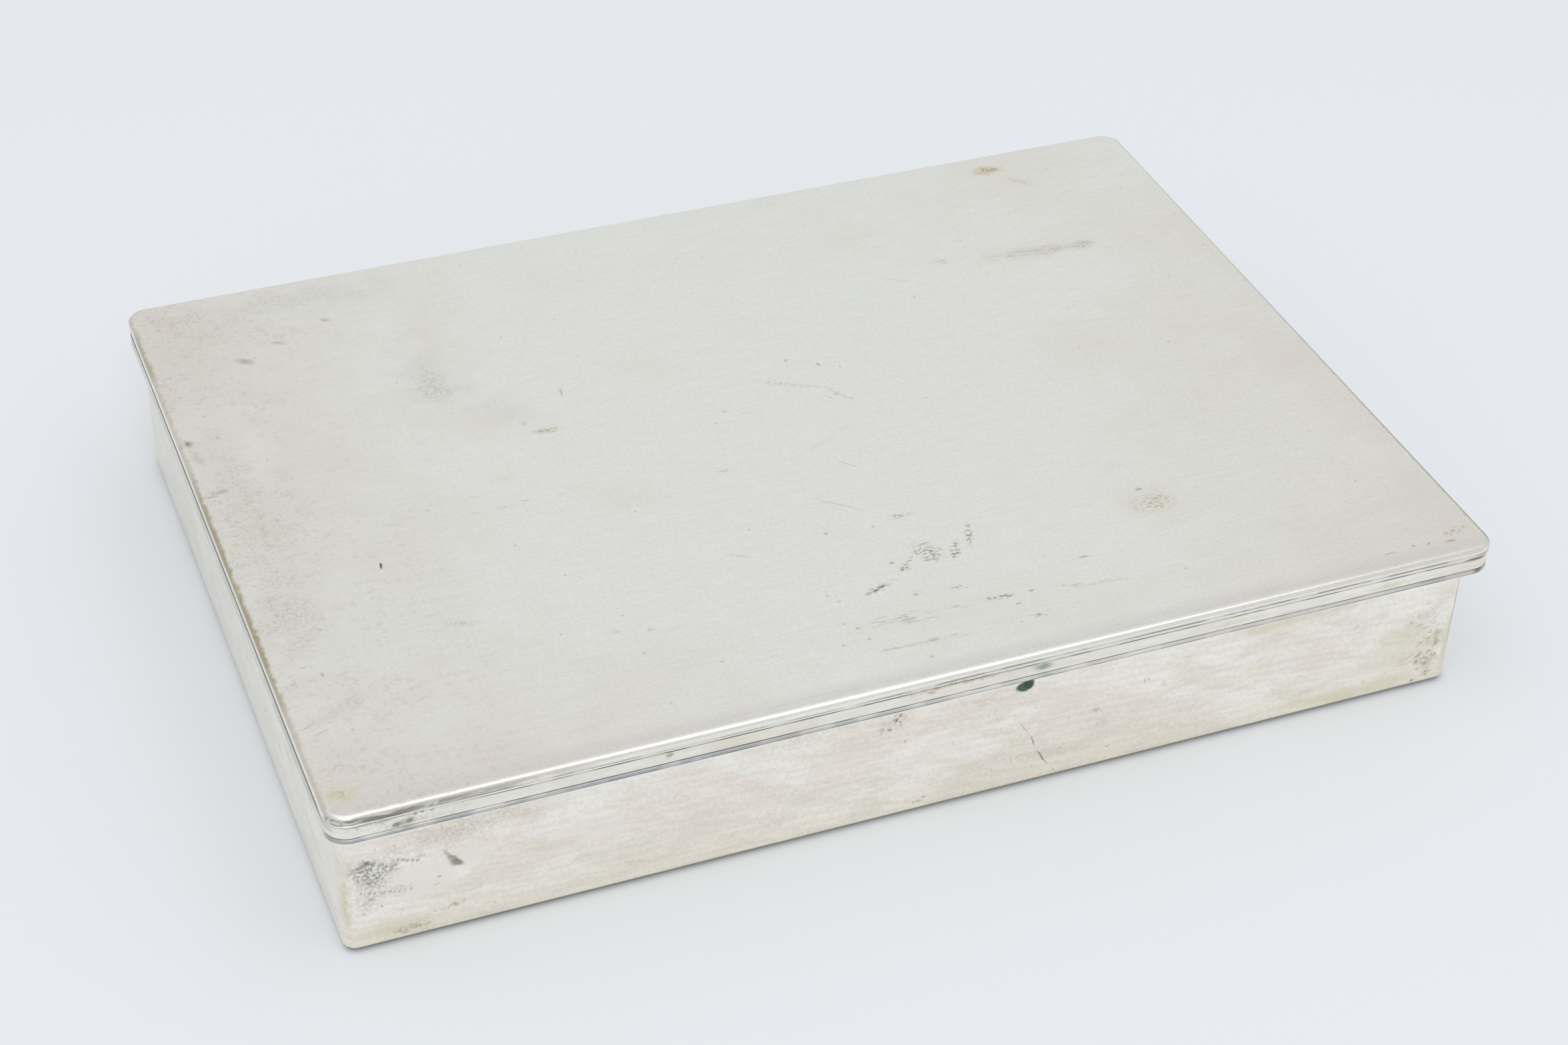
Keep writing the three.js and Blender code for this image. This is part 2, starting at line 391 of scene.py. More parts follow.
class NodeTree:
    """Node tree with short calls that add and feed its nodes."""

    def __init__(self, tree: bpy.types.NodeTree) -> None:
        """Takes a tree to add to."""
        self.tree = tree

    def feed(self, socket: Socket, value: Feed) -> None:
        """Links or sets one input.

        Args:
            socket: The input.
            value: A socket to link, or a number, colour or vector to set.
        """
        if isinstance(value, Socket):
            self.tree.links.new(value, socket)
        elif socket.type == "RGBA" and len(value) == 3:
            socket.default_value = (*value, 1.0)
        else:
            socket.default_value = value

    def node(self, kind: str, feeds: dict[Union[str, int], Feed], **settings: object) -> bpy.types.Node:
        """Adds a node.

        Args:
            kind: The node's type.
            feeds: What goes into its inputs, by name or number.
            settings: Its properties.

        Returns:
            The new node.
        """
        made = self.tree.nodes.new(kind)
        for key, value in settings.items():
            setattr(made, key, value)
        for key, value in feeds.items():
            self.feed(made.inputs[key], value)
        return made

    def result(self, kind: str, feeds: dict[Union[str, int], Feed], **settings: object) -> Socket:
        """First output of a new node."""
        return self.node(kind, feeds, **settings).outputs[0]

    def math(self, operation: str, first: Feed, second: Feed = 0.0) -> Socket:
        """Result of one sum with numbers."""
        return self.result("ShaderNodeMath", {0: first, 1: second}, operation=operation)

    def vectors(self, operation: str, first: Feed, second: Feed) -> Socket:
        """Result of one sum with vectors."""
        return self.result("ShaderNodeVectorMath", {0: first, 1: second}, operation=operation)

    def vector(self, x: Feed = 0.0, y: Feed = 0.0, z: Feed = 0.0) -> Socket:
        """Vector of three numbers."""
        return self.result("ShaderNodeCombineXYZ", {"X": x, "Y": y, "Z": z})


class Recipe(NodeTree):
    """Geometry Nodes tree with named sizes, run once on an object and kept as a plain mesh."""

    def __init__(self, name: str) -> None:
        """Makes an empty tree.

        Args:
            name: The tree's name.
        """
        super().__init__(bpy.data.node_groups.new(name, "GeometryNodeTree"))
        self.values: dict[str, Union[int, float]] = {}
        self.source = self.tree.nodes.new("NodeGroupInput")
        self.sink = self.tree.nodes.new("NodeGroupOutput")
        for way in ("INPUT", "OUTPUT"):
            self.tree.interface.new_socket("Geometry", in_out=way, socket_type="NodeSocketGeometry")

    @property
    def start(self) -> Socket:
        """The geometry of the object that the tree runs on."""
        return self.source.outputs["Geometry"]

    def enter(self, name: str, kind: str, value: Union[int, float]) -> Socket:
        """Adds a named input.

        Args:
            name: The input's name.
            kind: Its socket's type.
            value: Its value.

        Returns:
            The input's socket.
        """
        item = self.tree.interface.new_socket(name, in_out="INPUT", socket_type=kind)
        self.values[item.identifier] = value
        return self.source.outputs[name]

    def size(self, name: str, length: float) -> Socket:
        """Adds a named length in millimetres."""
        return self.enter(name, "NodeSocketFloat", length * MM)

    def count(self, name: str, number: int) -> Socket:
        """Adds a named count."""
        return self.enter(name, "NodeSocketInt", number)

    def run(self, piece: bpy.types.Object, geometry: Socket, finish: bpy.types.Material) -> None:
        """Realizes the geometry, sets its finish, runs the tree and keeps the mesh.

        Args:
            piece: Object that the tree runs on.
            geometry: What to keep.
            finish: Its material.
        """
        real = self.result("GeometryNodeRealizeInstances", {"Geometry": geometry})
        dressed = self.result("GeometryNodeSetMaterial", {"Geometry": real, "Material": finish})
        self.tree.links.new(dressed, self.sink.inputs["Geometry"])
        modifier = piece.modifiers.new(self.tree.name, "NODES")
        modifier.node_group = self.tree
        for key, value in self.values.items():
            modifier[key] = value
        bake(piece, modifier)


class Graph(NodeTree):
    """Shader tree of one material, with short calls for the nodes that the finishes use."""

    def __init__(self, name: str) -> None:
        """Makes a material with an empty tree.

        Args:
            name: The material's name.
        """
        self.material = bpy.data.materials.new(name)
        self.material.use_nodes = True
        super().__init__(self.material.node_tree)
        self.tree.nodes.clear()

    def place(self) -> Socket:
        """Object coordinates in millimetres."""
        raw = self.node("ShaderNodeTexCoord", {}).outputs["Object"]
        return self.result("ShaderNodeVectorMath", {0: raw, "Scale": 1.0 / MM}, operation="SCALE")

    def split(self, vector: Socket) -> tuple[Socket, Socket, Socket]:
        """X, Y and Z of a vector."""
        parts = self.node("ShaderNodeSeparateXYZ", {0: vector}).outputs
        return parts[0], parts[1], parts[2]

    def flat(self, place: Socket, slant: float) -> Socket:
        """Place on the upright walls: the length along them, and a height that rises along X by the slant."""
        x, y, z = self.split(place)
        return self.vector(self.math("ADD", x, y), self.total((z, 1.0), (x, slant)))

    def scaled(self, vector: Socket, factors: Sequence[float]) -> Socket:
        """Vector times a factor for each direction."""
        return self.vectors("MULTIPLY", vector, factors)

    def noise(self, vector: Socket, size: float, detail: float = 2.0, twist: float = 0.0) -> Socket:
        """Cloudy noise about 0.5, by the size of its clouds, its finer detail and its distortion."""
        feeds = {"Vector": vector, "Scale": 1.0 / size, "Detail": detail, "Distortion": twist}
        return self.result("ShaderNodeTexNoise", feeds)

    def shaken(self, vector: Socket, size: float, reach: float) -> Socket:
        """Place moved about by noise.

        Args:
            vector: The place.
            size: Usual size of the noise's clouds.
            reach: How far the place moves at most.

        Returns:
            The moved place.
        """
        feeds = {"Vector": vector, "Scale": 1.0 / size, "Detail": 2.0}
        drift = self.node("ShaderNodeTexNoise", feeds).outputs["Color"]
        level = self.vectors("SUBTRACT", drift, (0.5, 0.5, 0.5))
        return self.vectors("ADD", vector, self.scaled(level, (2.0 * reach,) * 3))

    def dots(self, vector: Socket, cell: float, radius: float, share: float, space: str = "2D") -> Socket:
        """Scattered round dots of several sizes.

        Args:
            vector: Where they are read.
            cell: Usual distance between dots.
            radius: Radius of the largest.
            share: Share of the cells that have one.
            space: "2D" for dots on the vector's first two numbers, "3D" for dots in space.

        Returns:
            1 inside a dot and 0 outside.
        """
        feeds = {"Vector": vector, "Scale": 1.0 / cell}
        cells = self.node("ShaderNodeTexVoronoi", feeds, voronoi_dimensions=space)
        chance = self.split(cells.outputs["Color"])[0]
        reach = self.step(chance, 1.0 - share, 1.0, 0.0, radius / cell)
        inside = self.math("SUBTRACT", reach, cells.outputs["Distance"])
        return self.step(inside, 0.0, 0.3 * radius / cell)

    def times(self, first: Feed, second: Feed) -> Socket:
        """Product of two numbers."""
        return self.math("MULTIPLY", first, second)

    def most(self, first: Feed, second: Feed) -> Socket:
        """Larger of two numbers."""
        return self.math("MAXIMUM", first, second)

    def gap(self, first: Feed, second: Feed) -> Socket:
        """Distance between two numbers."""
        return self.math("ABSOLUTE", self.math("SUBTRACT", first, second))

    def total(self, *parts: tuple[Feed, float]) -> Socket:
        """Sum of weighted numbers.

        Args:
            parts: Numbers and their weights.

        Returns:
            The sum.
        """
        result: Feed = 0.0
        for value, weight in parts:
            feeds = {0: value, 1: weight, 2: result}
            result = self.result("ShaderNodeMath", feeds, operation="MULTIPLY_ADD")
        return result

    def step(self, value: Feed, start: float, end: float, low: Feed = 0.0, high: Feed = 1.0) -> Socket:
        """Smooth step from low to high, while a value goes from start to end."""
        feeds = {0: value, 1: start, 2: end, 3: low, 4: high}
        return self.result("ShaderNodeMapRange", feeds, interpolation_type="SMOOTHSTEP")

    def blend(self, factor: Feed, first: Feed, second: Feed, way: str = "MIX") -> Socket:
        """Mix of two colours.

        Args:
            factor: Share of the second.
            first: First colour.
            second: Second colour.
            way: How they are mixed.

        Returns:
            The mixed colour.
        """
        made = self.node("ShaderNodeMix", {0: factor}, data_type="RGBA", blend_type=way)
        for key, value in (("A_Color", first), ("B_Color", second)):
            socket = next(s for s in made.inputs if s.identifier == key)
            self.feed(socket, value)
        return next(s for s in made.outputs if s.identifier == "Result_Color")

    def tinted(self, colour: Feed, factor: Feed) -> Socket:
        """Colour made lighter or darker by a factor."""
        return self.blend(1.0, colour, factor, "MULTIPLY")

    def bump(self, height: Socket, depth: float) -> Socket:
        """Normal of a surface with fine relief, by its height from 0 to 1 and its depth in millimetres."""
        return self.result("ShaderNodeBump", {"Height": height, "Distance": depth * MM})

    def surface(self, **feeds: Feed) -> bpy.types.Material:
        """Ends the tree in a shader.

        Args:
            feeds: Inputs of the shader, with _ for a space in their names.

        Returns:
            The finished material.
        """
        named = {key.replace("_", " "): value for key, value in feeds.items()}
        shader = self.result("ShaderNodeBsdfPrincipled", named)
        self.node("ShaderNodeOutputMaterial", {"Surface": shader})
        return self.material

    def metal(
        self, colour: Feed, hidden: Feed, cover: float, rough: Feed, normal: Socket
    ) -> bpy.types.Material:
        """Ends the tree in metal, which is covered where it is hidden."""
        bare = self.math("SUBTRACT", 1.0, self.times(hidden, cover))
        return self.surface(Base_Color=colour, Metallic=bare, Roughness=rough, Normal=normal)


# Finishes


class Breakup(Enum):
    """How a blemish is broken up."""

    SOLID = "solid"
    SPECKLE = "speckle"
    STREAKS = "streaks"
    CRUMBS = "crumbs"
    CLOUD = "cloud"


@dataclass(frozen=True)
class Blemish:
    """Look of one kind of mark on the plate."""

    tint: Colour
    strength: float
    breakup: Breakup
    ragged: float  # how far its edge wanders, as a share of its size
    soft: float  # share of its size over which it fades
    dull: float  # how far it hides the metal


class Kind(Enum):
    """Kinds of mark on the plate."""

    SPECK = Blemish((0.09, 0.085, 0.075), 0.9, Breakup.SOLID, 0.25, 0.6, 0.8)
    SCRATCH = Blemish((0.22, 0.205, 0.175), 0.8, Breakup.SOLID, 0.3, 0.9, 0.4)
    SCRAPE = Blemish((0.32, 0.265, 0.195), 0.85, Breakup.CRUMBS, 0.6, 0.8, 0.4)
    SMUDGE = Blemish((0.28, 0.275, 0.26), 0.7, Breakup.CLOUD, 0.7, 1.0, 0.3)
    STAIN = Blemish((0.44, 0.345, 0.225), 0.7, Breakup.CLOUD, 0.7, 0.9, 0.4)
    SCUFF = Blemish((0.38, 0.33, 0.295), 0.75, Breakup.STREAKS, 0.6, 0.9, 0.3)
    BLUSH = Blemish((0.89, 0.81, 0.74), 0.8, Breakup.SOLID, 0.7, 1.0, 0.0)
    OCHRE = Blemish((0.47, 0.42, 0.235), 0.85, Breakup.CRUMBS, 0.6, 0.9, 0.4)
    YELLOW = Blemish((0.74, 0.67, 0.48), 0.75, Breakup.SOLID, 0.7, 1.0, 0.2)
    CLOUDY = Blemish((0.64, 0.60, 0.505), 0.8, Breakup.CLOUD, 0.8, 1.0, 0.2)
    TARNISH = Blemish((0.42, 0.40, 0.32), 0.75, Breakup.SOLID, 0.5, 1.0, 0.3)
    PITTING = Blemish((0.19, 0.18, 0.15), 0.85, Breakup.SPECKLE, 0.6, 0.8, 0.6)
    RUST = Blemish((0.38, 0.31, 0.215), 0.8, Breakup.SPECKLE, 0.6, 0.9, 0.5)
    VERDIGRIS = Blemish((0.03, 0.085, 0.058), 0.95, Breakup.SOLID, 0.2, 0.35, 1.0)
    PALE_GREEN = Blemish((0.28, 0.40, 0.32), 0.85, Breakup.SOLID, 0.5, 0.8, 0.8)
    OLIVE = Blemish((0.165, 0.16, 0.10), 0.9, Breakup.SOLID, 0.25, 0.7, 0.6)
    HALO = Blemish((0.92, 0.875, 0.80), 0.8, Breakup.SOLID, 0.35, 0.5, 0.0)


class Face(Enum):
    """Side of the box that marks lie on."""

    LID = "lid"
    FRONT = "front"


@dataclass(frozen=True)
class Mark:
    """One blemish: its middle and size on its face, and its turn in degrees."""

    kind: Kind
    across: float
    up: float
    wide: float
    high: float
    turn: float = 0.0
    strength: float = 1.0


def row(mark: Mark, across: float, up: float, count: int) -> tuple[Mark, ...]:
    """Row of marks that are all alike, each a step across and up from the one before."""
    return tuple(replace(mark, across=mark.across + i * across, up=mark.up + i * up) for i in range(count))


LID_MARKS = (
    Mark(Kind.SMUDGE, -49.5, 33.0, 30.0, 16.0, 103, 0.26),
    Mark(Kind.SMUDGE, -50.7, 28.4, 14.0, 11.0, 103, 0.36),
    Mark(Kind.SMUDGE, -42.0, 18.0, 22.0, 14.0, 118, 0.28),
    Mark(Kind.BLUSH, -47.5, 42.4, 13.0, 10.0, 130, 0.45),
    Mark(Kind.BLUSH, -45.8, 15.4, 13.0, 11.0, 118, 0.35),
    Mark(Kind.BLUSH, -46.9, 0.7, 8.0, 5.0, 0, 0.4),
    Mark(Kind.BLUSH, -74.0, 20.0, 40.0, 26.0, 95, 0.3),
    Mark(Kind.BLUSH, -15.6, 22.7, 20.0, 9.0, -20, 0.3),
    Mark(Kind.BLUSH, -30.8, -9.8, 22.0, 13.0, -10, 0.3),
    Mark(Kind.BLUSH, 57.7, 3.9, 28.0, 20.0, -19, 0.32),
    Mark(Kind.BLUSH, 85.1, -10.9, 14.0, 24.0, 0, 0.35),
    Mark(Kind.BLUSH, 8.0, -54.0, 70.0, 20.0, -3, 0.2),
    Mark(Kind.CLOUDY, -85.6, -44.8, 15.0, 5.6, 22, 1.0),
    Mark(Kind.SMUDGE, -87.0, -22.0, 34.0, 12.0, 95, 0.34),
    Mark(Kind.SMUDGE, -86.0, 16.0, 30.0, 10.0, 95, 0.34),
    Mark(Kind.SMUDGE, -66.0, 61.0, 54.0, 10.0, 0, 0.36),
    Mark(Kind.CLOUDY, -84.0, 54.0, 44.0, 22.0, 110, 0.4),
    Mark(Kind.CLOUDY, -85.0, -6.0, 80.0, 18.0, 93, 0.4),
    Mark(Kind.SPECK, -70.5, -14.7, 1.9, 0.6, 78),
    Mark(Kind.TARNISH, -90.8, 25.7, 3.2, 2.0, 98, 1.2),
    Mark(Kind.SPECK, -90.9, 25.8, 1.4, 0.8, 98, 0.35),
    Mark(Kind.TARNISH, -90.3, 21.5, 7.0, 2.2, 100, 0.45),
    Mark(Kind.TARNISH, -89.2, 11.5, 4.6, 2.0, 4, 0.8),
    Mark(Kind.SPECK, -90.2, 10.7, 2.6, 0.6, -3, 0.35),
    Mark(Kind.TARNISH, -77.0, 45.5, 5.0, 2.6, 150, 0.9),
    Mark(Kind.TARNISH, -70.5, 49.1, 3.4, 1.6, 160, 0.8),
    Mark(Kind.TARNISH, -61.6, 53.3, 2.8, 1.5, 144, 0.7),
    Mark(Kind.SPECK, -90.7, -7.1, 0.8, 0.45, 100, 0.35),
    Mark(Kind.SPECK, -85.5, -10.9, 0.7, 0.5, 60, 0.35),
    Mark(Kind.SPECK, -82.9, -26.4, 0.8, 0.6, 0, 0.35),
    Mark(Kind.SPECK, -87.3, -33.9, 1.2, 0.5, 10, 0.3),
    Mark(Kind.SPECK, -85.1, -36.3, 0.9, 0.6, 10, 0.4),
    Mark(Kind.SPECK, -89.6, -35.3, 0.8, 0.5, 10, 0.3),
    Mark(Kind.SPECK, -86.6, 32.2, 1.0, 0.8, 0, 0.3),
    Mark(Kind.SPECK, -86.0, 25.8, 0.8, 1.4, 20, 0.25),
    Mark(Kind.SCRATCH, -90.0, -46.8, 3.0, 0.5, 24, 0.4),
    Mark(Kind.SCRATCH, -88.4, -48.6, 3.4, 0.6, 24, 0.35),
    Mark(Kind.SCRATCH, -84.1, -49.4, 1.4, 0.6, 24, 0.35),
    Mark(Kind.STAIN, -36.0, 10.6, 5.8, 2.6, 178, 1.2),
    Mark(Kind.SPECK, -37.2, 10.6, 1.8, 0.9, 170, 0.3),
    Mark(Kind.STAIN, -39.1, 13.6, 2.4, 1.4, 140, 0.7),
    Mark(Kind.SCRATCH, -30.8, 19.9, 3.6, 0.6, 81, 0.5),
    Mark(Kind.SMUDGE, -52.4, -2.7, 2.8, 1.1, -6, 0.6),
    Mark(Kind.SMUDGE, -53.2, -6.8, 2.6, 1.1, -6, 0.6),
    Mark(Kind.SMUDGE, -48.7, -6.9, 2.6, 1.1, -6, 0.6),
    Mark(Kind.SMUDGE, -45.0, -6.2, 2.6, 1.1, -6, 0.5),
    Mark(Kind.SMUDGE, -39.2, -6.4, 2.4, 1.2, -6, 0.5),
    Mark(Kind.SCRAPE, -13.1, -9.2, 3.6, 1.8, -10, 0.5),
    Mark(Kind.SMUDGE, -7.7, 6.1, 2.6, 1.3, -20, 0.7),
    Mark(Kind.SMUDGE, -4.5, 4.4, 2.4, 1.2, -20, 0.7),
    Mark(Kind.SCRAPE, 5.2, 9.6, 14.0, 1.7, -28, 0.5),
    Mark(Kind.SCRAPE, 11.8, 4.6, 7.6, 1.7, -54, 0.5),
    Mark(Kind.SPECK, 7.1, 16.4, 1.1, 0.7, 30, 0.4),
    Mark(Kind.SPECK, 11.8, 13.6, 1.3, 0.7, 104, 0.5),
    Mark(Kind.SCRATCH, 5.8, -14.0, 5.4, 0.6, -46, 0.3),
    Mark(Kind.SCRATCH, 0.4, -23.5, 13.0, 0.6, -41, 0.25),
    Mark(Kind.SCRATCH, -18.7, -30.5, 6.4, 0.5, -30, 0.25),
    Mark(Kind.SPECK, -4.4, -29.6, 1.0, 0.7, 0, 0.35),
    Mark(Kind.SPECK, 3.2, -30.4, 1.0, 0.7, 0, 0.35),
    Mark(Kind.YELLOW, 64.2, 61.6, 10.0, 4.6, -3, 1.2),
    Mark(Kind.OCHRE, 64.4, 61.6, 8.0, 3.8, -3, 1.15),
    Mark(Kind.OLIVE, 65.6, 61.5, 2.2, 1.3, 0, 0.4),
    Mark(Kind.YELLOW, 68.2, 56.4, 9.0, 1.8, 137, 0.8),
    Mark(Kind.BLUSH, 61.0, 34.0, 34.0, 10.0, -4, 0.4),
    Mark(Kind.SMUDGE, 63.0, 33.4, 24.0, 4.4, -4, 0.4),
    Mark(Kind.SCUFF, 58.0, 34.0, 24.0, 4.4, -4, 0.45),
    Mark(Kind.SMUDGE, 70.1, 33.0, 6.0, 3.6, 10, 0.7),
    Mark(Kind.SMUDGE, 64.6, 33.1, 4.4, 2.4, 0, 0.5),
    Mark(Kind.SCUFF, 45.0, 36.0, 8.0, 3.0, -12, 0.6),
    Mark(Kind.SCRATCH, 34.0, 33.3, 8.0, 0.7, 150, 0.2),
    Mark(Kind.YELLOW, 46.6, -38.6, 14.0, 11.0, 8, 0.35),
    Mark(Kind.OCHRE, 47.0, -39.2, 9.6, 7.6, 8, 0.9),
    Mark(Kind.SPECK, 46.3, -35.4, 1.6, 0.9, 8, 0.5),
    Mark(Kind.SCRAPE, 8.5, -39.0, 5.6, 7.4, 0, 1.0),
    Mark(Kind.SCRATCH, 8.7, -37.0, 4.0, 0.7, 8, 0.5),
    Mark(Kind.SCRATCH, 8.2, -40.9, 4.2, 0.7, 4, 0.5),
    Mark(Kind.SCRATCH, 6.8, -38.6, 3.2, 0.6, 86, 0.5),
    Mark(Kind.SCRAPE, 12.8, -39.9, 7.0, 1.9, 65, 1.1),
    Mark(Kind.SCRAPE, 16.2, -37.5, 7.4, 1.8, 70, 1.1),
    Mark(Kind.SPECK, 17.0, -35.3, 1.2, 0.6, 0, 0.4),
    Mark(Kind.SPECK, 2.3, -39.8, 1.2, 0.9, 0, 0.5),
    Mark(Kind.SCRAPE, 3.8, -41.5, 3.4, 2.4, 40, 1.1),
    Mark(Kind.SCRAPE, 4.9, -40.3, 4.6, 1.0, 49, 0.8),
    Mark(Kind.SCRAPE, -2.0, -44.8, 8.0, 2.0, 22, 1.1),
    Mark(Kind.SCRATCH, -2.4, -45.0, 6.0, 0.7, 22, 0.6),
    Mark(Kind.SCRAPE, 8.0, -29.2, 5.6, 1.7, 2, 0.8),
    Mark(Kind.SCRAPE, 9.8, -48.6, 5.6, 1.3, -11, 0.9),
    Mark(Kind.SCRAPE, 14.3, -52.8, 8.4, 1.5, -6, 1.0),
    Mark(Kind.SPECK, 15.9, -53.0, 1.6, 0.6, -6, 0.3),
    Mark(Kind.SPECK, 19.4, -53.1, 1.2, 0.7, 0, 0.5),
    Mark(Kind.SCUFF, 28.3, -54.3, 15.0, 1.5, -8, 0.7),
    Mark(Kind.SCUFF, 8.3, -52.9, 7.0, 1.3, -7, 0.7),
    Mark(Kind.SCUFF, -1.2, -52.6, 16.0, 3.6, -6, 0.9),
    Mark(Kind.SCUFF, -0.2, -58.8, 23.0, 1.2, -2, 0.6),
    Mark(Kind.SCRATCH, -2.0, -58.8, 15.0, 0.4, -2, 0.3),
    Mark(Kind.SPECK, -7.8, -55.4, 1.0, 0.6, 0, 0.4),
    Mark(Kind.SPECK, -8.6, -52.5, 1.2, 0.7, 0, 0.4),
    Mark(Kind.SPECK, -12.0, -55.4, 1.0, 0.7, 0, 0.35),
    Mark(Kind.SCRAPE, 18.0, -58.8, 4.4, 1.2, -13, 0.9),
    Mark(Kind.SPECK, -0.9, -62.2, 1.0, 0.6, 0, 0.4),
    Mark(Kind.SPECK, -8.7, -45.6, 1.0, 0.7, 0, 0.35),
    Mark(Kind.SPECK, -9.9, -43.7, 1.0, 0.7, 0, 0.3),
    Mark(Kind.SPECK, 2.7, -48.0, 1.0, 0.7, 0, 0.4),
    Mark(Kind.SPECK, 16.3, -55.2, 1.0, 0.6, 0, 0.4),
    Mark(Kind.SCRATCH, 30.6, -48.1, 2.6, 0.7, -8, 0.6),
    Mark(Kind.SCRAPE, 88.0, -61.6, 6.0, 2.2, 6, 0.8),
    Mark(Kind.SCRATCH, 85.8, -63.6, 2.6, 0.8, -4, 0.7),
    Mark(Kind.SCRATCH, 75.4, -63.3, 3.4, 0.6, -4, 0.5),
    Mark(Kind.SPECK, 79.7, -62.8, 0.8, 0.6, 0, 0.5),
    Mark(Kind.SPECK, 82.2, -63.0, 0.9, 0.5, 20, 0.5),
    Mark(Kind.SPECK, 44.0, -56.0, 0.8, 0.5, 20, 0.35),
    Mark(Kind.SMUDGE, -62.9, -31.9, 6.4, 2.4, -9, 0.6),
    Mark(Kind.SMUDGE, -42.3, -41.3, 1.8, 1.3, 0, 0.8),
    Mark(Kind.SMUDGE, -37.4, -42.5, 1.6, 1.1, 0, 0.7),
    Mark(Kind.YELLOW, -89.0, -62.5, 6.0, 6.0, 0, 0.8),
    Mark(Kind.OCHRE, -89.0, -62.0, 4.0, 3.4, 0, 0.5),
    Mark(Kind.SCRATCH, 2.4, -7.9, 12.0, 0.3, 20, 0.15),
)

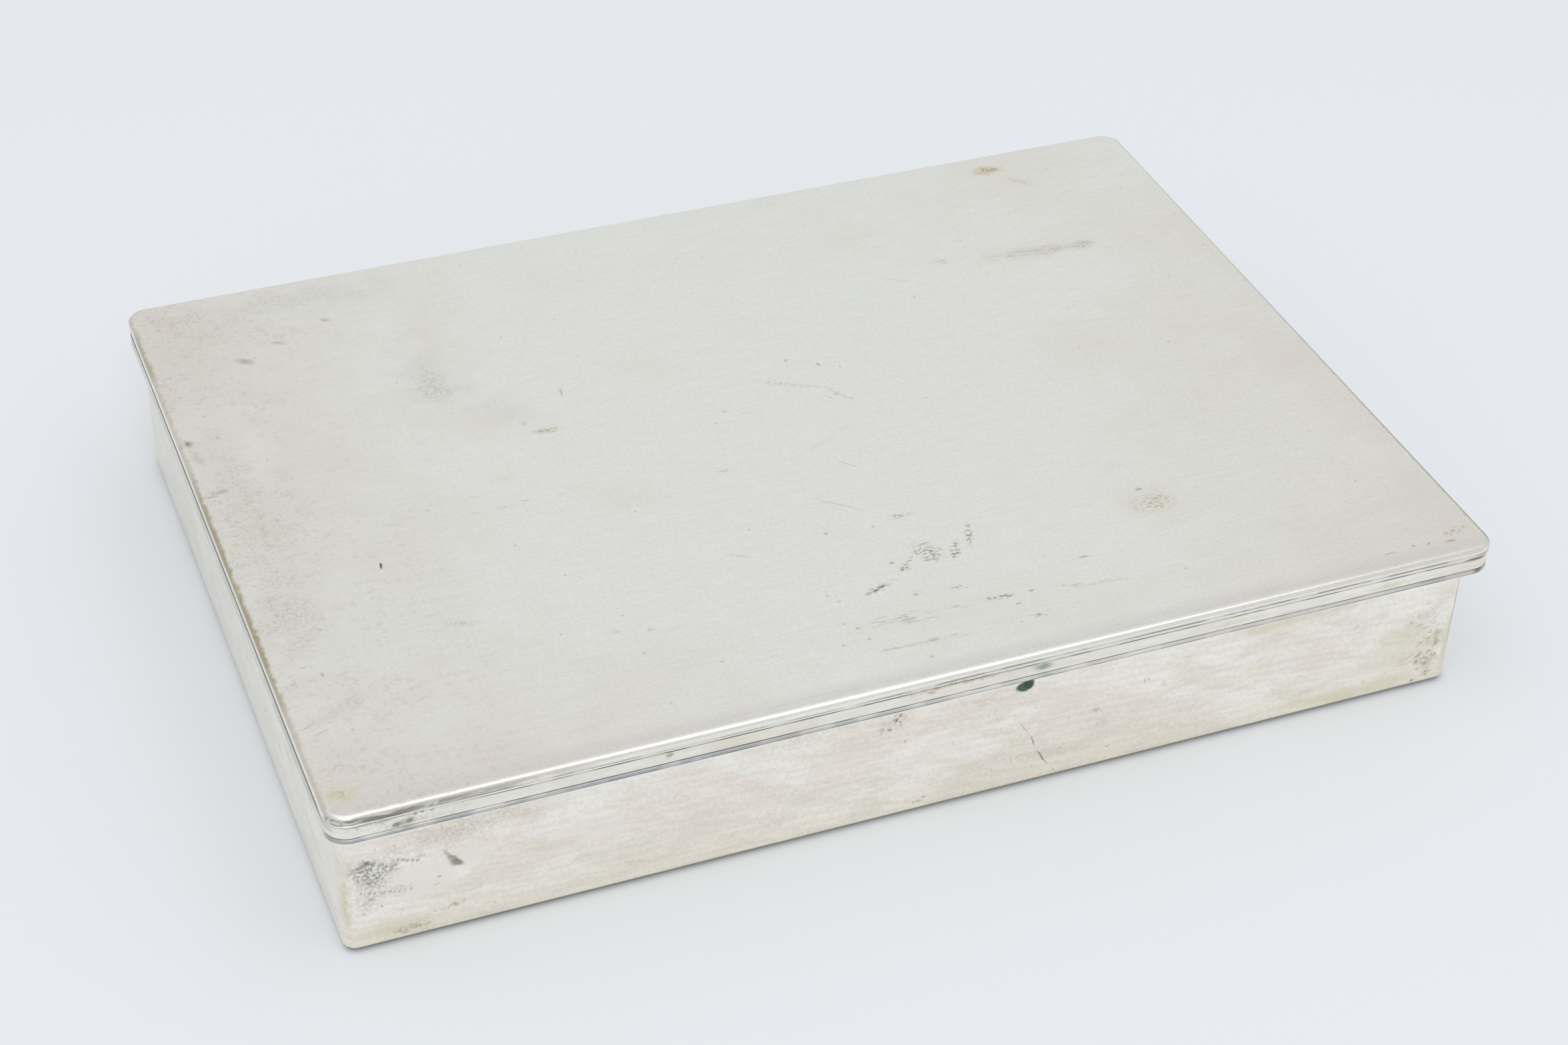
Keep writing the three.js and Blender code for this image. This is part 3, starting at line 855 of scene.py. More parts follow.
FRONT_MARKS = (
    Mark(Kind.YELLOW, -84.0, 3.0, 16.0, 5.0, 0, 0.6),
    Mark(Kind.CLOUDY, -74.0, 19.0, 42.0, 8.0, 3, 1.0),
    Mark(Kind.CLOUDY, -85.0, 13.5, 16.0, 15.0, 0, 0.5),
    Mark(Kind.HALO, -79.0, 11.0, 13.0, 9.0, 3),
    Mark(Kind.HALO, -72.4, 13.4, 8.0, 5.4, -12),
    Mark(Kind.SMUDGE, -86.4, 14.4, 9.4, 8.4, 0, 1.35),
    Mark(Kind.SMUDGE, -87.2, 15.9, 6.0, 3.2, 30, 1.2),
    Mark(Kind.PITTING, -86.8, 14.2, 5.6, 5.4, 0, 0.3),
    Mark(Kind.SPECK, -87.2, 16.2, 3.2, 1.1, 25, 0.4),
    Mark(Kind.SPECK, -86.9, 16.7, 0.9, 0.6, 10, 0.4),
    Mark(Kind.SPECK, -86.0, 16.2, 1.0, 0.6, 10, 0.45),
    Mark(Kind.SMUDGE, -83.0, 15.3, 6.0, 3.0, -12, 0.6),
    Mark(Kind.PITTING, -83.6, 15.4, 4.4, 2.4, -12, 0.45),
    Mark(Kind.PITTING, -79.4, 16.0, 5.0, 2.6, -14, 0.35),
    *row(Mark(Kind.SPECK, -82.4, 15.9, 0.8, 0.7, 0, 0.5), 0.72, -0.24, 5),
    *row(Mark(Kind.SCRATCH, -78.6, 15.5, 1.0, 0.22, 78, 0.3), 0.5, -0.3, 4),
    *row(Mark(Kind.SPECK, -88.0, 11.1, 0.8, 0.35, 60, 0.45), 0.65, -0.15, 4),
    *row(Mark(Kind.SPECK, -84.7, 10.4, 0.9, 0.3, 50, 0.4), 0.8, -0.12, 6),
    Mark(Kind.SMUDGE, -87.0, 9.4, 6.6, 7.0, 0, 0.9),
    Mark(Kind.SMUDGE, -83.0, 10.2, 8.0, 3.0, -6, 0.6),
    Mark(Kind.PITTING, -86.6, 10.2, 5.6, 3.0, -8, 0.45),
    Mark(Kind.PITTING, -82.4, 10.4, 5.6, 1.8, -6, 0.35),
    Mark(Kind.SPECK, -86.5, 9.5, 0.6, 0.45, 0, 0.45),
    Mark(Kind.SPECK, -85.1, 7.9, 0.5, 0.6, 0, 0.45),
    Mark(Kind.SPECK, -87.8, 7.0, 0.5, 0.4, 0, 0.35),
    Mark(Kind.SPECK, -82.2, 6.2, 0.5, 0.4, 0, 0.35),
    Mark(Kind.OLIVE, -75.1, 14.6, 3.6, 0.9, -54, 0.45),
    Mark(Kind.OLIVE, -74.5, 13.5, 3.2, 1.4, -42, 0.6),
    Mark(Kind.OLIVE, -73.9, 12.5, 3.0, 1.7, -24, 0.85),
    Mark(Kind.SPECK, -76.6, 10.8, 0.9, 0.45, 15, 0.5),
    Mark(Kind.SPECK, -77.0, 9.4, 1.3, 0.35, 15, 0.35),
    Mark(Kind.STAIN, -80.9, 2.4, 7.0, 2.0, 2, 1.3),
    Mark(Kind.STAIN, -74.8, 4.6, 6.0, 1.3, 10, 1.1),
    Mark(Kind.STAIN, -71.4, 6.8, 4.6, 0.5, 26, 0.45),
    Mark(Kind.STAIN, -77.4, 4.4, 4.0, 0.4, 14, 0.5),
    Mark(Kind.YELLOW, -90.2, 10.0, 18.0, 2.4, 91, 0.9),
    Mark(Kind.STAIN, -90.2, 8.0, 14.0, 1.0, 91, 0.45),
    Mark(Kind.BLUSH, -55.0, 12.0, 24.0, 9.0, 8, 0.55),
    Mark(Kind.BLUSH, -38.4, 7.0, 14.0, 6.0, -6, 0.7),
    Mark(Kind.STAIN, -48.0, 4.2, 7.0, 2.0, 6, 0.3),
    Mark(Kind.CLOUDY, -24.0, 5.2, 12.0, 3.6, 6, 0.6),
    Mark(Kind.CLOUDY, -22.0, 20.0, 22.0, 4.0, 4, 0.55),
    Mark(Kind.BLUSH, -14.0, 14.0, 16.0, 8.0, 4, 0.5),
    Mark(Kind.CLOUDY, -6.4, 19.6, 10.0, 5.0, 40, 0.8),
    Mark(Kind.PITTING, -7.0, 19.2, 7.6, 3.6, 42, 0.9),
    Mark(Kind.SPECK, -7.2, 19.6, 0.7, 0.5, 20, 0.6),
    Mark(Kind.SPECK, -5.2, 14.8, 0.5, 0.6, 0, 0.4),
    Mark(Kind.PITTING, -2.3, 2.4, 4.0, 1.4, 0, 0.6),
    Mark(Kind.SCRATCH, -3.4, 22.4, 2.0, 0.5, 0, 0.8),
    Mark(Kind.CLOUDY, 6.5, 19.0, 10.0, 3.6, 8, 0.8),
    Mark(Kind.CLOUDY, 9.7, 14.5, 6.0, 2.4, -20, 0.6),
    Mark(Kind.BLUSH, 2.0, 12.0, 14.0, 7.0, 0, 0.5),
    Mark(Kind.BLUSH, 22.0, 16.0, 16.0, 8.0, 0, 0.5),
    Mark(Kind.CLOUDY, 15.0, 5.8, 30.0, 4.0, -6, 0.75),
    Mark(Kind.PALE_GREEN, 15.6, 21.5, 3.6, 1.3, 16, 0.9),
    Mark(Kind.VERDIGRIS, 15.3, 21.3, 2.8, 0.8, 18, 0.7),
    Mark(Kind.VERDIGRIS, 13.9, 20.0, 3.4, 2.3, 6),
    Mark(Kind.VERDIGRIS, 14.6, 20.3, 2.2, 2.2, 30),
    Mark(Kind.SPECK, 12.7, 14.6, 0.9, 0.3, 10, 0.35),
    Mark(Kind.SCRATCH, 14.4, 11.7, 4.6, 0.35, -56, 0.5),
    Mark(Kind.SCRATCH, 16.1, 8.6, 3.4, 0.45, -72, 0.9),
    Mark(Kind.SCRATCH, 17.9, 4.9, 5.8, 0.5, -58, 1.0),
    Mark(Kind.SCRATCH, 20.2, 1.6, 3.0, 0.4, -52, 0.4),
    Mark(Kind.SMUDGE, 26.4, 11.8, 2.6, 2.4, 50, 0.7),
    Mark(Kind.SMUDGE, 27.4, 9.0, 6.0, 4.4, 60, 0.4),
    Mark(Kind.SPECK, 34.4, 15.3, 1.4, 0.4, 70, 0.35),
    Mark(Kind.SPECK, 35.0, 15.4, 1.4, 0.4, -70, 0.35),
    Mark(Kind.SMUDGE, 37.8, 13.6, 1.6, 1.8, 0, 0.5),
    Mark(Kind.SPECK, 29.1, 3.7, 1.0, 0.4, 10, 0.45),
    Mark(Kind.STAIN, 63.4, 4.7, 5.0, 2.0, 4, 0.45),
    Mark(Kind.YELLOW, 58.0, 20.2, 40.0, 3.6, 2, 0.6),
    Mark(Kind.YELLOW, 72.0, 2.4, 36.0, 3.4, 0, 0.7),
    Mark(Kind.SMUDGE, 71.3, 15.7, 1.4, 1.0, 30, 0.6),
    Mark(Kind.YELLOW, 81.0, 9.0, 20.0, 16.0, 0, 0.4),
    Mark(Kind.STAIN, 83.5, 10.0, 15.0, 18.0, 0, 0.14),
    Mark(Kind.SMUDGE, 85.0, 16.0, 12.0, 9.0, 20, 0.12),
    Mark(Kind.CLOUDY, 72.0, 16.0, 16.0, 11.0, 10, 0.45),
    Mark(Kind.RUST, 85.4, 9.0, 9.0, 12.0, 0, 0.55),
    Mark(Kind.RUST, 84.2, 5.2, 10.0, 8.0, 0, 0.55),
    Mark(Kind.PITTING, 83.0, 13.0, 11.0, 13.0, 0, 0.16),
    Mark(Kind.STAIN, 86.4, 9.4, 4.2, 4.8, 0, 1.25),
    Mark(Kind.STAIN, 85.3, 4.9, 4.8, 5.0, 0, 1.15),
    Mark(Kind.STAIN, 85.7, 2.5, 2.4, 2.0, 0, 1.4),
    Mark(Kind.SMUDGE, 83.8, 17.2, 1.6, 1.4, 0, 0.7),
    Mark(Kind.SMUDGE, 81.3, 13.6, 1.8, 1.4, 20, 0.7),
    # Grey line down the front right corner's bend, where the wall turns away: painted shade.
    Mark(Kind.SCRATCH, 88.9, 15.0, 17.0, 0.9, 89, 0.7),
    Mark(Kind.OLIVE, 83.3, 1.5, 0.9, 0.8, 0, 0.7),
    Mark(Kind.YELLOW, 88.6, 8.0, 18.0, 2.4, 90, 0.8),
)

RIM_MARKS = (
    Mark(Kind.SMUDGE, -86.0, 26.3, 13.0, 1.3, 0, 0.9),
    Mark(Kind.CLOUDY, -80.0, 25.4, 24.0, 2.6, 0, 0.8),
    Mark(Kind.TARNISH, -81.8, 25.2, 5.0, 2.0, 4, 1.0),
    Mark(Kind.OLIVE, -82.8, 25.1, 2.0, 1.2, 4, 0.7),
    Mark(Kind.OLIVE, -81.0, 25.4, 1.4, 1.1, 10, 0.65),
    Mark(Kind.OLIVE, -80.1, 26.3, 0.9, 1.0, 0, 0.6),
    Mark(Kind.OLIVE, -79.1, 26.5, 0.9, 0.7, 0, 0.6),
    Mark(Kind.OLIVE, -77.8, 26.3, 0.9, 0.7, 0, 0.5),
    Mark(Kind.OLIVE, -43.1, 25.9, 1.6, 1.0, 8, 0.6),
    Mark(Kind.PALE_GREEN, 15.2, 25.8, 4.4, 1.9, 6, 1.1),
    Mark(Kind.PALE_GREEN, 15.6, 23.9, 3.4, 1.0, 0, 0.6),
    Mark(Kind.STAIN, 2.0, 26.4, 34.0, 1.3, 0, 1.1),
    Mark(Kind.OLIVE, -2.8, 25.8, 2.4, 0.7, -10, 0.5),
    Mark(Kind.YELLOW, 74.0, 25.2, 12.0, 1.6, 0, 0.8),
    Mark(Kind.YELLOW, 48.0, 25.4, 16.0, 1.0, 0, 0.5),
    # Dark strokes where the creases open at the front right corner: painted shade and grime.
    Mark(Kind.OLIVE, 88.6, 26.6, 5.0, 0.9, 4, 0.9),
    Mark(Kind.OLIVE, 89.6, 24.2, 2.4, 0.7, 8, 0.8),
)


@cache
def blemish_mask() -> bpy.types.ShaderNodeTree:
    """Node group that says how far a point lies inside a mark's ellipse, made on first use.

    Returns:
        A group with the mark's place, size, turn and edge as inputs and its mask as output.
    """
    group = NodeTree(bpy.data.node_groups.new("blemish_mask", "ShaderNodeTree"))
    sockets = dict.fromkeys(("Point", "Middle", "Reach", "Turn"), "NodeSocketVector")
    sockets.update(dict.fromkeys(("Wander", "Fade from"), "NodeSocketFloat"))
    for name, kind in sockets.items():
        group.tree.interface.new_socket(name, in_out="INPUT", socket_type=kind)
    group.tree.interface.new_socket("Mask", in_out="OUTPUT", socket_type="NodeSocketFloat")
    given = group.tree.nodes.new("NodeGroupInput").outputs
    away = group.vectors("SUBTRACT", given["Point"], given["Middle"])
    feeds = {"Vector": away, "Rotation": given["Turn"]}
    turned = group.result("ShaderNodeVectorRotate", feeds, rotation_type="EULER_XYZ", invert=True)
    share = group.vectors("DIVIDE", turned, given["Reach"])
    length = group.node("ShaderNodeVectorMath", {0: share}, operation="LENGTH").outputs["Value"]
    wander = group.math("ADD", length, given["Wander"])
    feeds = {"Value": wander, "From Min": 1.0, "From Max": given["Fade from"]}
    edge = group.result("ShaderNodeMapRange", feeds, interpolation_type="SMOOTHSTEP")
    group.node("NodeGroupOutput", {"Mask": edge})
    return group.tree


@dataclass(frozen=True)
class MarkedFace:
    """Marks of one face and the depth at which they lie."""

    face: Face
    depth: float
    marks: tuple[Mark, ...]
    reach: float = 6.0  # how far the marks go through the face
    large: float = 3.0  # marks wider than this have broad bays in their edge
    wobble: Pair = (1.6, 0.26)  # size and reach of the small bends in their outlines

    def ellipse(self, mark: Mark) -> dict[str, tuple[float, float, float]]:
        """Middle, half sizes and turn of a mark in space.

        Args:
            mark: The mark.

        Returns:
            Inputs of the mask group.
        """
        turn = math.radians(mark.turn)
        half_wide, half_high = mark.wide / 2, mark.high / 2
        if self.face is Face.LID:
            return {
                "Middle": (mark.across, mark.up, self.depth),
                "Reach": (half_wide, half_high, self.reach),
                "Turn": (0.0, 0.0, turn),
            }
        return {
            "Middle": (mark.across, self.depth, mark.up),
            "Reach": (half_wide, self.reach, half_high),
            "Turn": (0.0, -turn, 0.0),
        }

    def paint(self, graph: Graph, place: Socket, colour: Socket) -> tuple[Socket, Socket]:
        """Lays the marks over a colour.

        Args:
            graph: The material's tree.
            place: Object coordinates in millimetres.
            colour: The colour under the marks.

        Returns:
            The marked colour, and how far the marks hide the metal.
        """
        place = graph.shaken(place, *self.wobble)
        fine = graph.noise(place, 0.8, 4.0)
        broad = graph.noise(place, 4.0, 4.0)
        streaks = graph.noise(graph.scaled(place, (0.16, 1.0, 1.0)), 0.4, 4.0)
        crumbs = graph.noise(graph.scaled(place, (0.5, 1.0, 1.0)), 0.36, 4.0)
        cloud = graph.noise(place, 0.5, 5.0)
        breakups: dict[Breakup, Feed] = {
            Breakup.SOLID: 1.0,
            Breakup.SPECKLE: graph.step(graph.noise(place, 0.75, 3.0), 0.53, 0.64),
            Breakup.STREAKS: graph.step(streaks, 0.48, 0.62),
            Breakup.CRUMBS: graph.step(crumbs, 0.47, 0.6),
            Breakup.CLOUD: graph.step(cloud, 0.34, 0.68),
        }
        wanders: dict[tuple[bool, float], Socket] = {}
        hidden: Feed = 0.0
        for mark in self.marks:
            look = mark.kind.value
            edge = (min(mark.wide, mark.high) > self.large, look.ragged)
            if edge not in wanders:
                level = graph.math("SUBTRACT", broad if edge[0] else fine, 0.5)
                wanders[edge] = graph.times(level, 2.0 * look.ragged)
            feeds = {"Point": place, "Wander": wanders[edge], "Fade from": 1.0 - look.soft}
            feeds.update(self.ellipse(mark))
            mask = graph.result("ShaderNodeGroup", feeds, node_tree=blemish_mask())
            inside = graph.times(mask, min(look.strength * mark.strength, 1.0))
            shown = graph.times(inside, breakups[look.breakup])
            colour = graph.blend(shown, colour, look.tint)
            hidden = graph.most(hidden, graph.times(shown, look.dull))
        return colour, hidden


@dataclass(frozen=True)
class LidPlateFinish:
    """Satin silver plate of the lid: cloudy, finely speckled and marked, with a worn edge, and painted
    reflection and shade along its edge.
    """

    span: Span
    edge_round: float
    clean: Colour = (0.945, 0.96, 0.915)
    warm: Colour = (0.875, 0.833, 0.772)
    # Lilac band behind the front highlight: tarnish and a painted reflection.
    lilac_reflection_and_tarnish: Colour = (0.77, 0.75, 0.74)
    soot: Colour = (0.40, 0.385, 0.36)
    ochre: Colour = (0.45, 0.385, 0.235)
    # Light cream of the lower half of the rolled edge: a painted reflection.
    lip: Colour = (0.97, 0.945, 0.87)
    # Dark grey-green: a thin line near the right end, and on the front left lower roll a painted dark
    # reflection mottled with grime.
    strip: Colour = (0.25, 0.255, 0.22)
    # Dark line low on the lip: grime and painted crease shade.
    grime: Colour = (0.075, 0.07, 0.055)
    speck: Colour = (0.2, 0.185, 0.16)
    roughness: float = 0.34
    edge_roughness: float = 0.13

    def make(self) -> bpy.types.Material:
        """Builds the material.

        Returns:
            The finished material.
        """
        graph = Graph("lid_plate")
        place = graph.place()
        colour, aged, grain = self.cloud(graph, place)
        marks = MarkedFace(Face.LID, self.span.high[2], LID_MARKS)
        colour, hidden = marks.paint(graph, place, colour)
        # The edge's dark line is grime and painted crease shade, and it dulls the metal.
        colour, dirt = self.edge(graph, place, colour)
        hidden = graph.most(hidden, graph.times(dirt, 0.6))
        satin = graph.total((aged, 0.08), (grain, 0.12), (hidden, 0.3), (1.0, self.roughness - 0.08))
        x, y, _ = graph.split(place)
        from_end = graph.math("SUBTRACT", self.span.size[0] / 2, graph.math("ABSOLUTE", x))
        from_side = graph.math("SUBTRACT", self.span.size[1] / 2, graph.math("ABSOLUTE", y))
        off = graph.math("MINIMUM", from_end, from_side)
        rough = graph.step(off, 0.8 * self.edge_round, 0.4 * self.edge_round, satin, self.edge_roughness)
        return graph.metal(colour, hidden, 0.8, rough, graph.bump(grain, 0.005))

    def cloud(self, graph: Graph, place: Socket) -> tuple[Socket, Socket, Socket]:
        """Base colour of the plate.

        Args:
            graph: The material's tree.
            place: Object coordinates in millimetres.

        Returns:
            The colour, how far it is aged, and its fine grain.
        """
        x, y, _ = graph.split(place)
        left, front = self.span.low[0], self.span.low[1]
        broad = graph.noise(place, 60.0, 3.0, 0.5)
        patchy = graph.noise(place, 15.0, 5.0, 0.6)
        sand = graph.noise(place, 0.5, 3.0)
        wipe = graph.noise(graph.scaled(place, (0.07, 1.0, 1.0)), 0.45, 4.0)
        weave = graph.noise(graph.scaled(place, (1.0, 0.07, 1.0)), 0.4, 3.0)
        from_left = graph.step(x, left, left + 88.0, 1.0, 0.0)
        to_right = graph.step(x, 20.0, 95.0)
        to_front = graph.step(y, -30.0, -66.0)
        aged = graph.total(
            (from_left, 0.6), (to_right, 0.42), (to_front, 0.18), (broad, 0.9), (patchy, 0.7), (1.0, -0.82)
        )
        tarnish = graph.step(aged, 0.0, 0.95)
        colour = graph.blend(tarnish, self.clean, self.warm)
        # Band along the front of the top, behind the highlight: tarnish and a painted reflection of darker
        # surroundings.
        rubbed_and_reflected = graph.times(graph.step(y, front + 4.6, front + 1.6), graph.step(y, front + 0.8, front + 1.2))
        rubbed_and_reflected = graph.times(rubbed_and_reflected, graph.step(wipe, 0.4, 0.6, 0.35, 0.7))
        colour = graph.blend(rubbed_and_reflected, colour, self.lilac_reflection_and_tarnish)
        grain = graph.total((sand, 0.5), (wipe, 0.32), (weave, 0.18))
        colour = graph.tinted(colour, graph.step(grain, 0.38, 0.62, 0.955, 1.02))
        sooty = graph.step(x, left + 4.0, left + 46.0, 1.0, 0.0)
        sooty = graph.times(sooty, graph.step(patchy, 0.4, 0.6, 0.4, 1.0))
        powder = graph.times(graph.step(sand, 0.55, 0.7), sooty)
        colour = graph.blend(graph.times(powder, 0.3), colour, self.soot)
        mottle = graph.noise(graph.shaken(place, 0.6, 0.4), 0.9, 2.0)
        flecks = graph.times(graph.step(mottle, 0.56, 0.66), sooty)
        colour = graph.blend(graph.times(flecks, 0.22), colour, self.soot)
        specks = graph.times(graph.dots(place, 5.0, 0.26, 0.14), 0.28)
        return graph.blend(specks, colour, self.speck), aged, grain

    def edge(self, graph: Graph, place: Socket, colour: Socket) -> tuple[Socket, Socket]:
        """Worn end edges, and painted reflection, painted shade and grime low on the rolled edge.

        Args:
            graph: The material's tree.
            place: Object coordinates in millimetres.
            colour: The colour of the plate.

        Returns:
            The colour, and how far the lip's line of grime and painted crease shade hides the metal.
        """
        x, y, z = graph.split(place)
        left, front, low = self.span.low
        high = self.span.high[2]
        ragged = graph.noise(place, 1.3, 5.0)
        # Lower half of the rolled edge painted light cream: a painted reflection.
        lower = graph.step(z, high - 0.4, high - 0.8)
        colour = graph.blend(graph.times(lower, 0.7), colour, self.lip)
        worn = graph.step(graph.total((x, 1.0), (ragged, -1.5)), left + 0.35, left - 0.4)
        worn = graph.times(worn, graph.step(z, high - 0.85, high - 0.4))
        main = graph.step(graph.gap(y, -13.0), 38.0, 16.0, 0.3, 0.85)
        back = graph.step(graph.gap(y, 52.0), 11.0, 4.0, 0.0, 0.65)
        colour = graph.blend(graph.times(worn, graph.most(main, back)), colour, self.ochre)
        rubbed_and_reflected = graph.step(graph.total((x, 1.0), (ragged, 0.8)), -left - 0.4, -left + 0.3, 0.0, 0.35)
        colour = graph.blend(rubbed_and_reflected, colour, self.ochre)
        inset = graph.math("ABSOLUTE", graph.total((x, -1.0), (ragged, 0.5), (1.0, -left - 0.75)))
        drawn = graph.times(graph.step(inset, 0.4, 0.15), graph.step(y, 45.0, -60.0, 0.15, 0.6))
        colour = graph.blend(drawn, colour, self.strip)
        # Front left, low on the rolled edge: a painted dark reflection of dim surroundings, mottled with
        # grime.
        smear = graph.noise(graph.scaled(place, (0.22, 1.0, 1.0)), 1.1, 6.0, 0.65)
        at_left = graph.step(x, left + 46.0, left + 6.0, 0.08, 1.0)
        at_left = graph.times(at_left, graph.step(y, front + 3.0, front + 1.5))
        shade = graph.times(graph.step(z, high - 0.35, high - 0.75), at_left)
        shade = graph.times(shade, graph.step(smear, 0.38, 0.54, 0.3, 0.95))
        colour = graph.blend(shade, colour, self.strip)
        # Dark line low on the lip, along the crease with the moulding: grime and painted crease shade.
        line = graph.step(x, -20.0, 8.0, low + 0.1, low + 0.38)
        off = graph.gap(z, line)
        broken = graph.step(graph.noise(graph.scaled(place, (0.5, 0.5, 1.0)), 3.0, 6.0), 0.42, 0.56, 0.3, 1.0)
        grime = graph.times(graph.step(off, 0.26, 0.03), broken)
        grime = graph.times(grime, graph.step(x, -20.0, 8.0, 0.5, 0.7))
        return graph.blend(grime, colour, self.grime), grime


@dataclass(frozen=True)
class WallPlateFinish:
    """Warm silver plate of the walls: sandy and smeared along the walls, creamier towards the foot."""

    front: float
    foot: float
    lit_from: float = 21.0  # above this height the wall is painted whiter, a painted light where it shows under the lid's edge
    clean: Colour = (0.985, 0.942, 0.868)
    rosy: Colour = (0.936, 0.862, 0.78)
    # Cool tint of the end and back walls: a painted reflection of the bluish floor.
    cool: Colour = (0.925, 0.925, 0.905)
    grey: Colour = (0.885, 0.845, 0.735)
    cream: Colour = (0.965, 0.90, 0.75)
    # White of the strip under the lid's edge: painted light.
    white: Colour = (0.99, 0.975, 0.94)
    # Dark of the front foot: painted contact shadow and grime.
    foot_shadow_and_grime: Colour = (0.075, 0.07, 0.05)
    speck: Colour = (0.28, 0.26, 0.2)
    roughness: float = 0.36

    def make(self) -> bpy.types.Material:
        """Builds the material.

        Returns:
            The finished material.
        """
        graph = Graph("wall_plate")
        place = graph.place()
        flat = graph.flat(place, 0.06)
        _, y, z = graph.split(place)
        broad = graph.noise(graph.scaled(flat, (0.55, 1.0, 1.0)), 12.0, 8.0, 0.64)
        patchy = graph.noise(graph.scaled(flat, (0.4, 1.0, 1.0)), 5.0, 8.0, 0.68)
        streak = graph.noise(graph.scaled(flat, (0.1, 1.0, 1.0)), 0.8, 4.0)
        sand = graph.noise(place, 0.6, 3.0)
        colour = graph.blend(graph.step(broad, 0.44, 0.6), self.clean, self.rosy)
        # End and back walls painted cooler: a painted reflection of the bluish floor.
        side = graph.step(y, self.front + 1.0, self.front + 8.0, 0.0, 0.6)
        colour = graph.blend(side, colour, self.cool)
        # Darker towards the back: painted shade against the end walls' grazing reflection.
        colour = graph.tinted(colour, graph.step(y, -35.0, 40.0, 1.0, 0.94))
        low = graph.step(graph.total((z, 1.0), (patchy, 5.0)), self.foot + 8.5, self.foot + 2.5)
        low = graph.times(low, graph.step(y, self.front + 8.0, self.front + 1.0, 0.25, 0.5))
        colour = graph.blend(low, colour, self.cream)
        dull = graph.step(patchy, 0.48, 0.62)
        colour = graph.blend(graph.times(dull, 0.65), colour, self.grey)
        grain = graph.total((streak, 0.5), (sand, 0.5))
        colour = graph.tinted(colour, graph.step(grain, 0.38, 0.62, 0.925, 1.03))
        # Whiter strip where the wall shows under the lid's edge: painted light.
        lit_strip = graph.step(z, self.lit_from - 0.6, self.lit_from, 0.0, 0.75)
        colour = graph.blend(lit_strip, colour, self.white)
        specks = graph.dots(flat, 3.4, 0.2, 0.3)
        colour = graph.blend(graph.times(specks, 0.3), colour, self.speck)
        marks = MarkedFace(Face.FRONT, self.front, FRONT_MARKS)
        colour, hidden = marks.paint(graph, place, colour)
        # Dark band along the front foot: painted contact shadow and grime, which also dulls the metal.
        foot = graph.step(z, self.foot + 0.75, self.foot + 0.25)
        foot = graph.times(foot, graph.step(y, self.front + 3.0, self.front + 1.0, 0.3, 0.95))
        colour = graph.blend(foot, colour, self.foot_shadow_and_grime)
        hidden = graph.most(hidden, graph.times(foot, 0.7))
        rough = graph.total((dull, 0.08), (grain, 0.14), (hidden, 0.3), (1.0, self.roughness - 0.07))
        return graph.metal(colour, hidden, 0.85, rough, graph.bump(grain, 0.005))


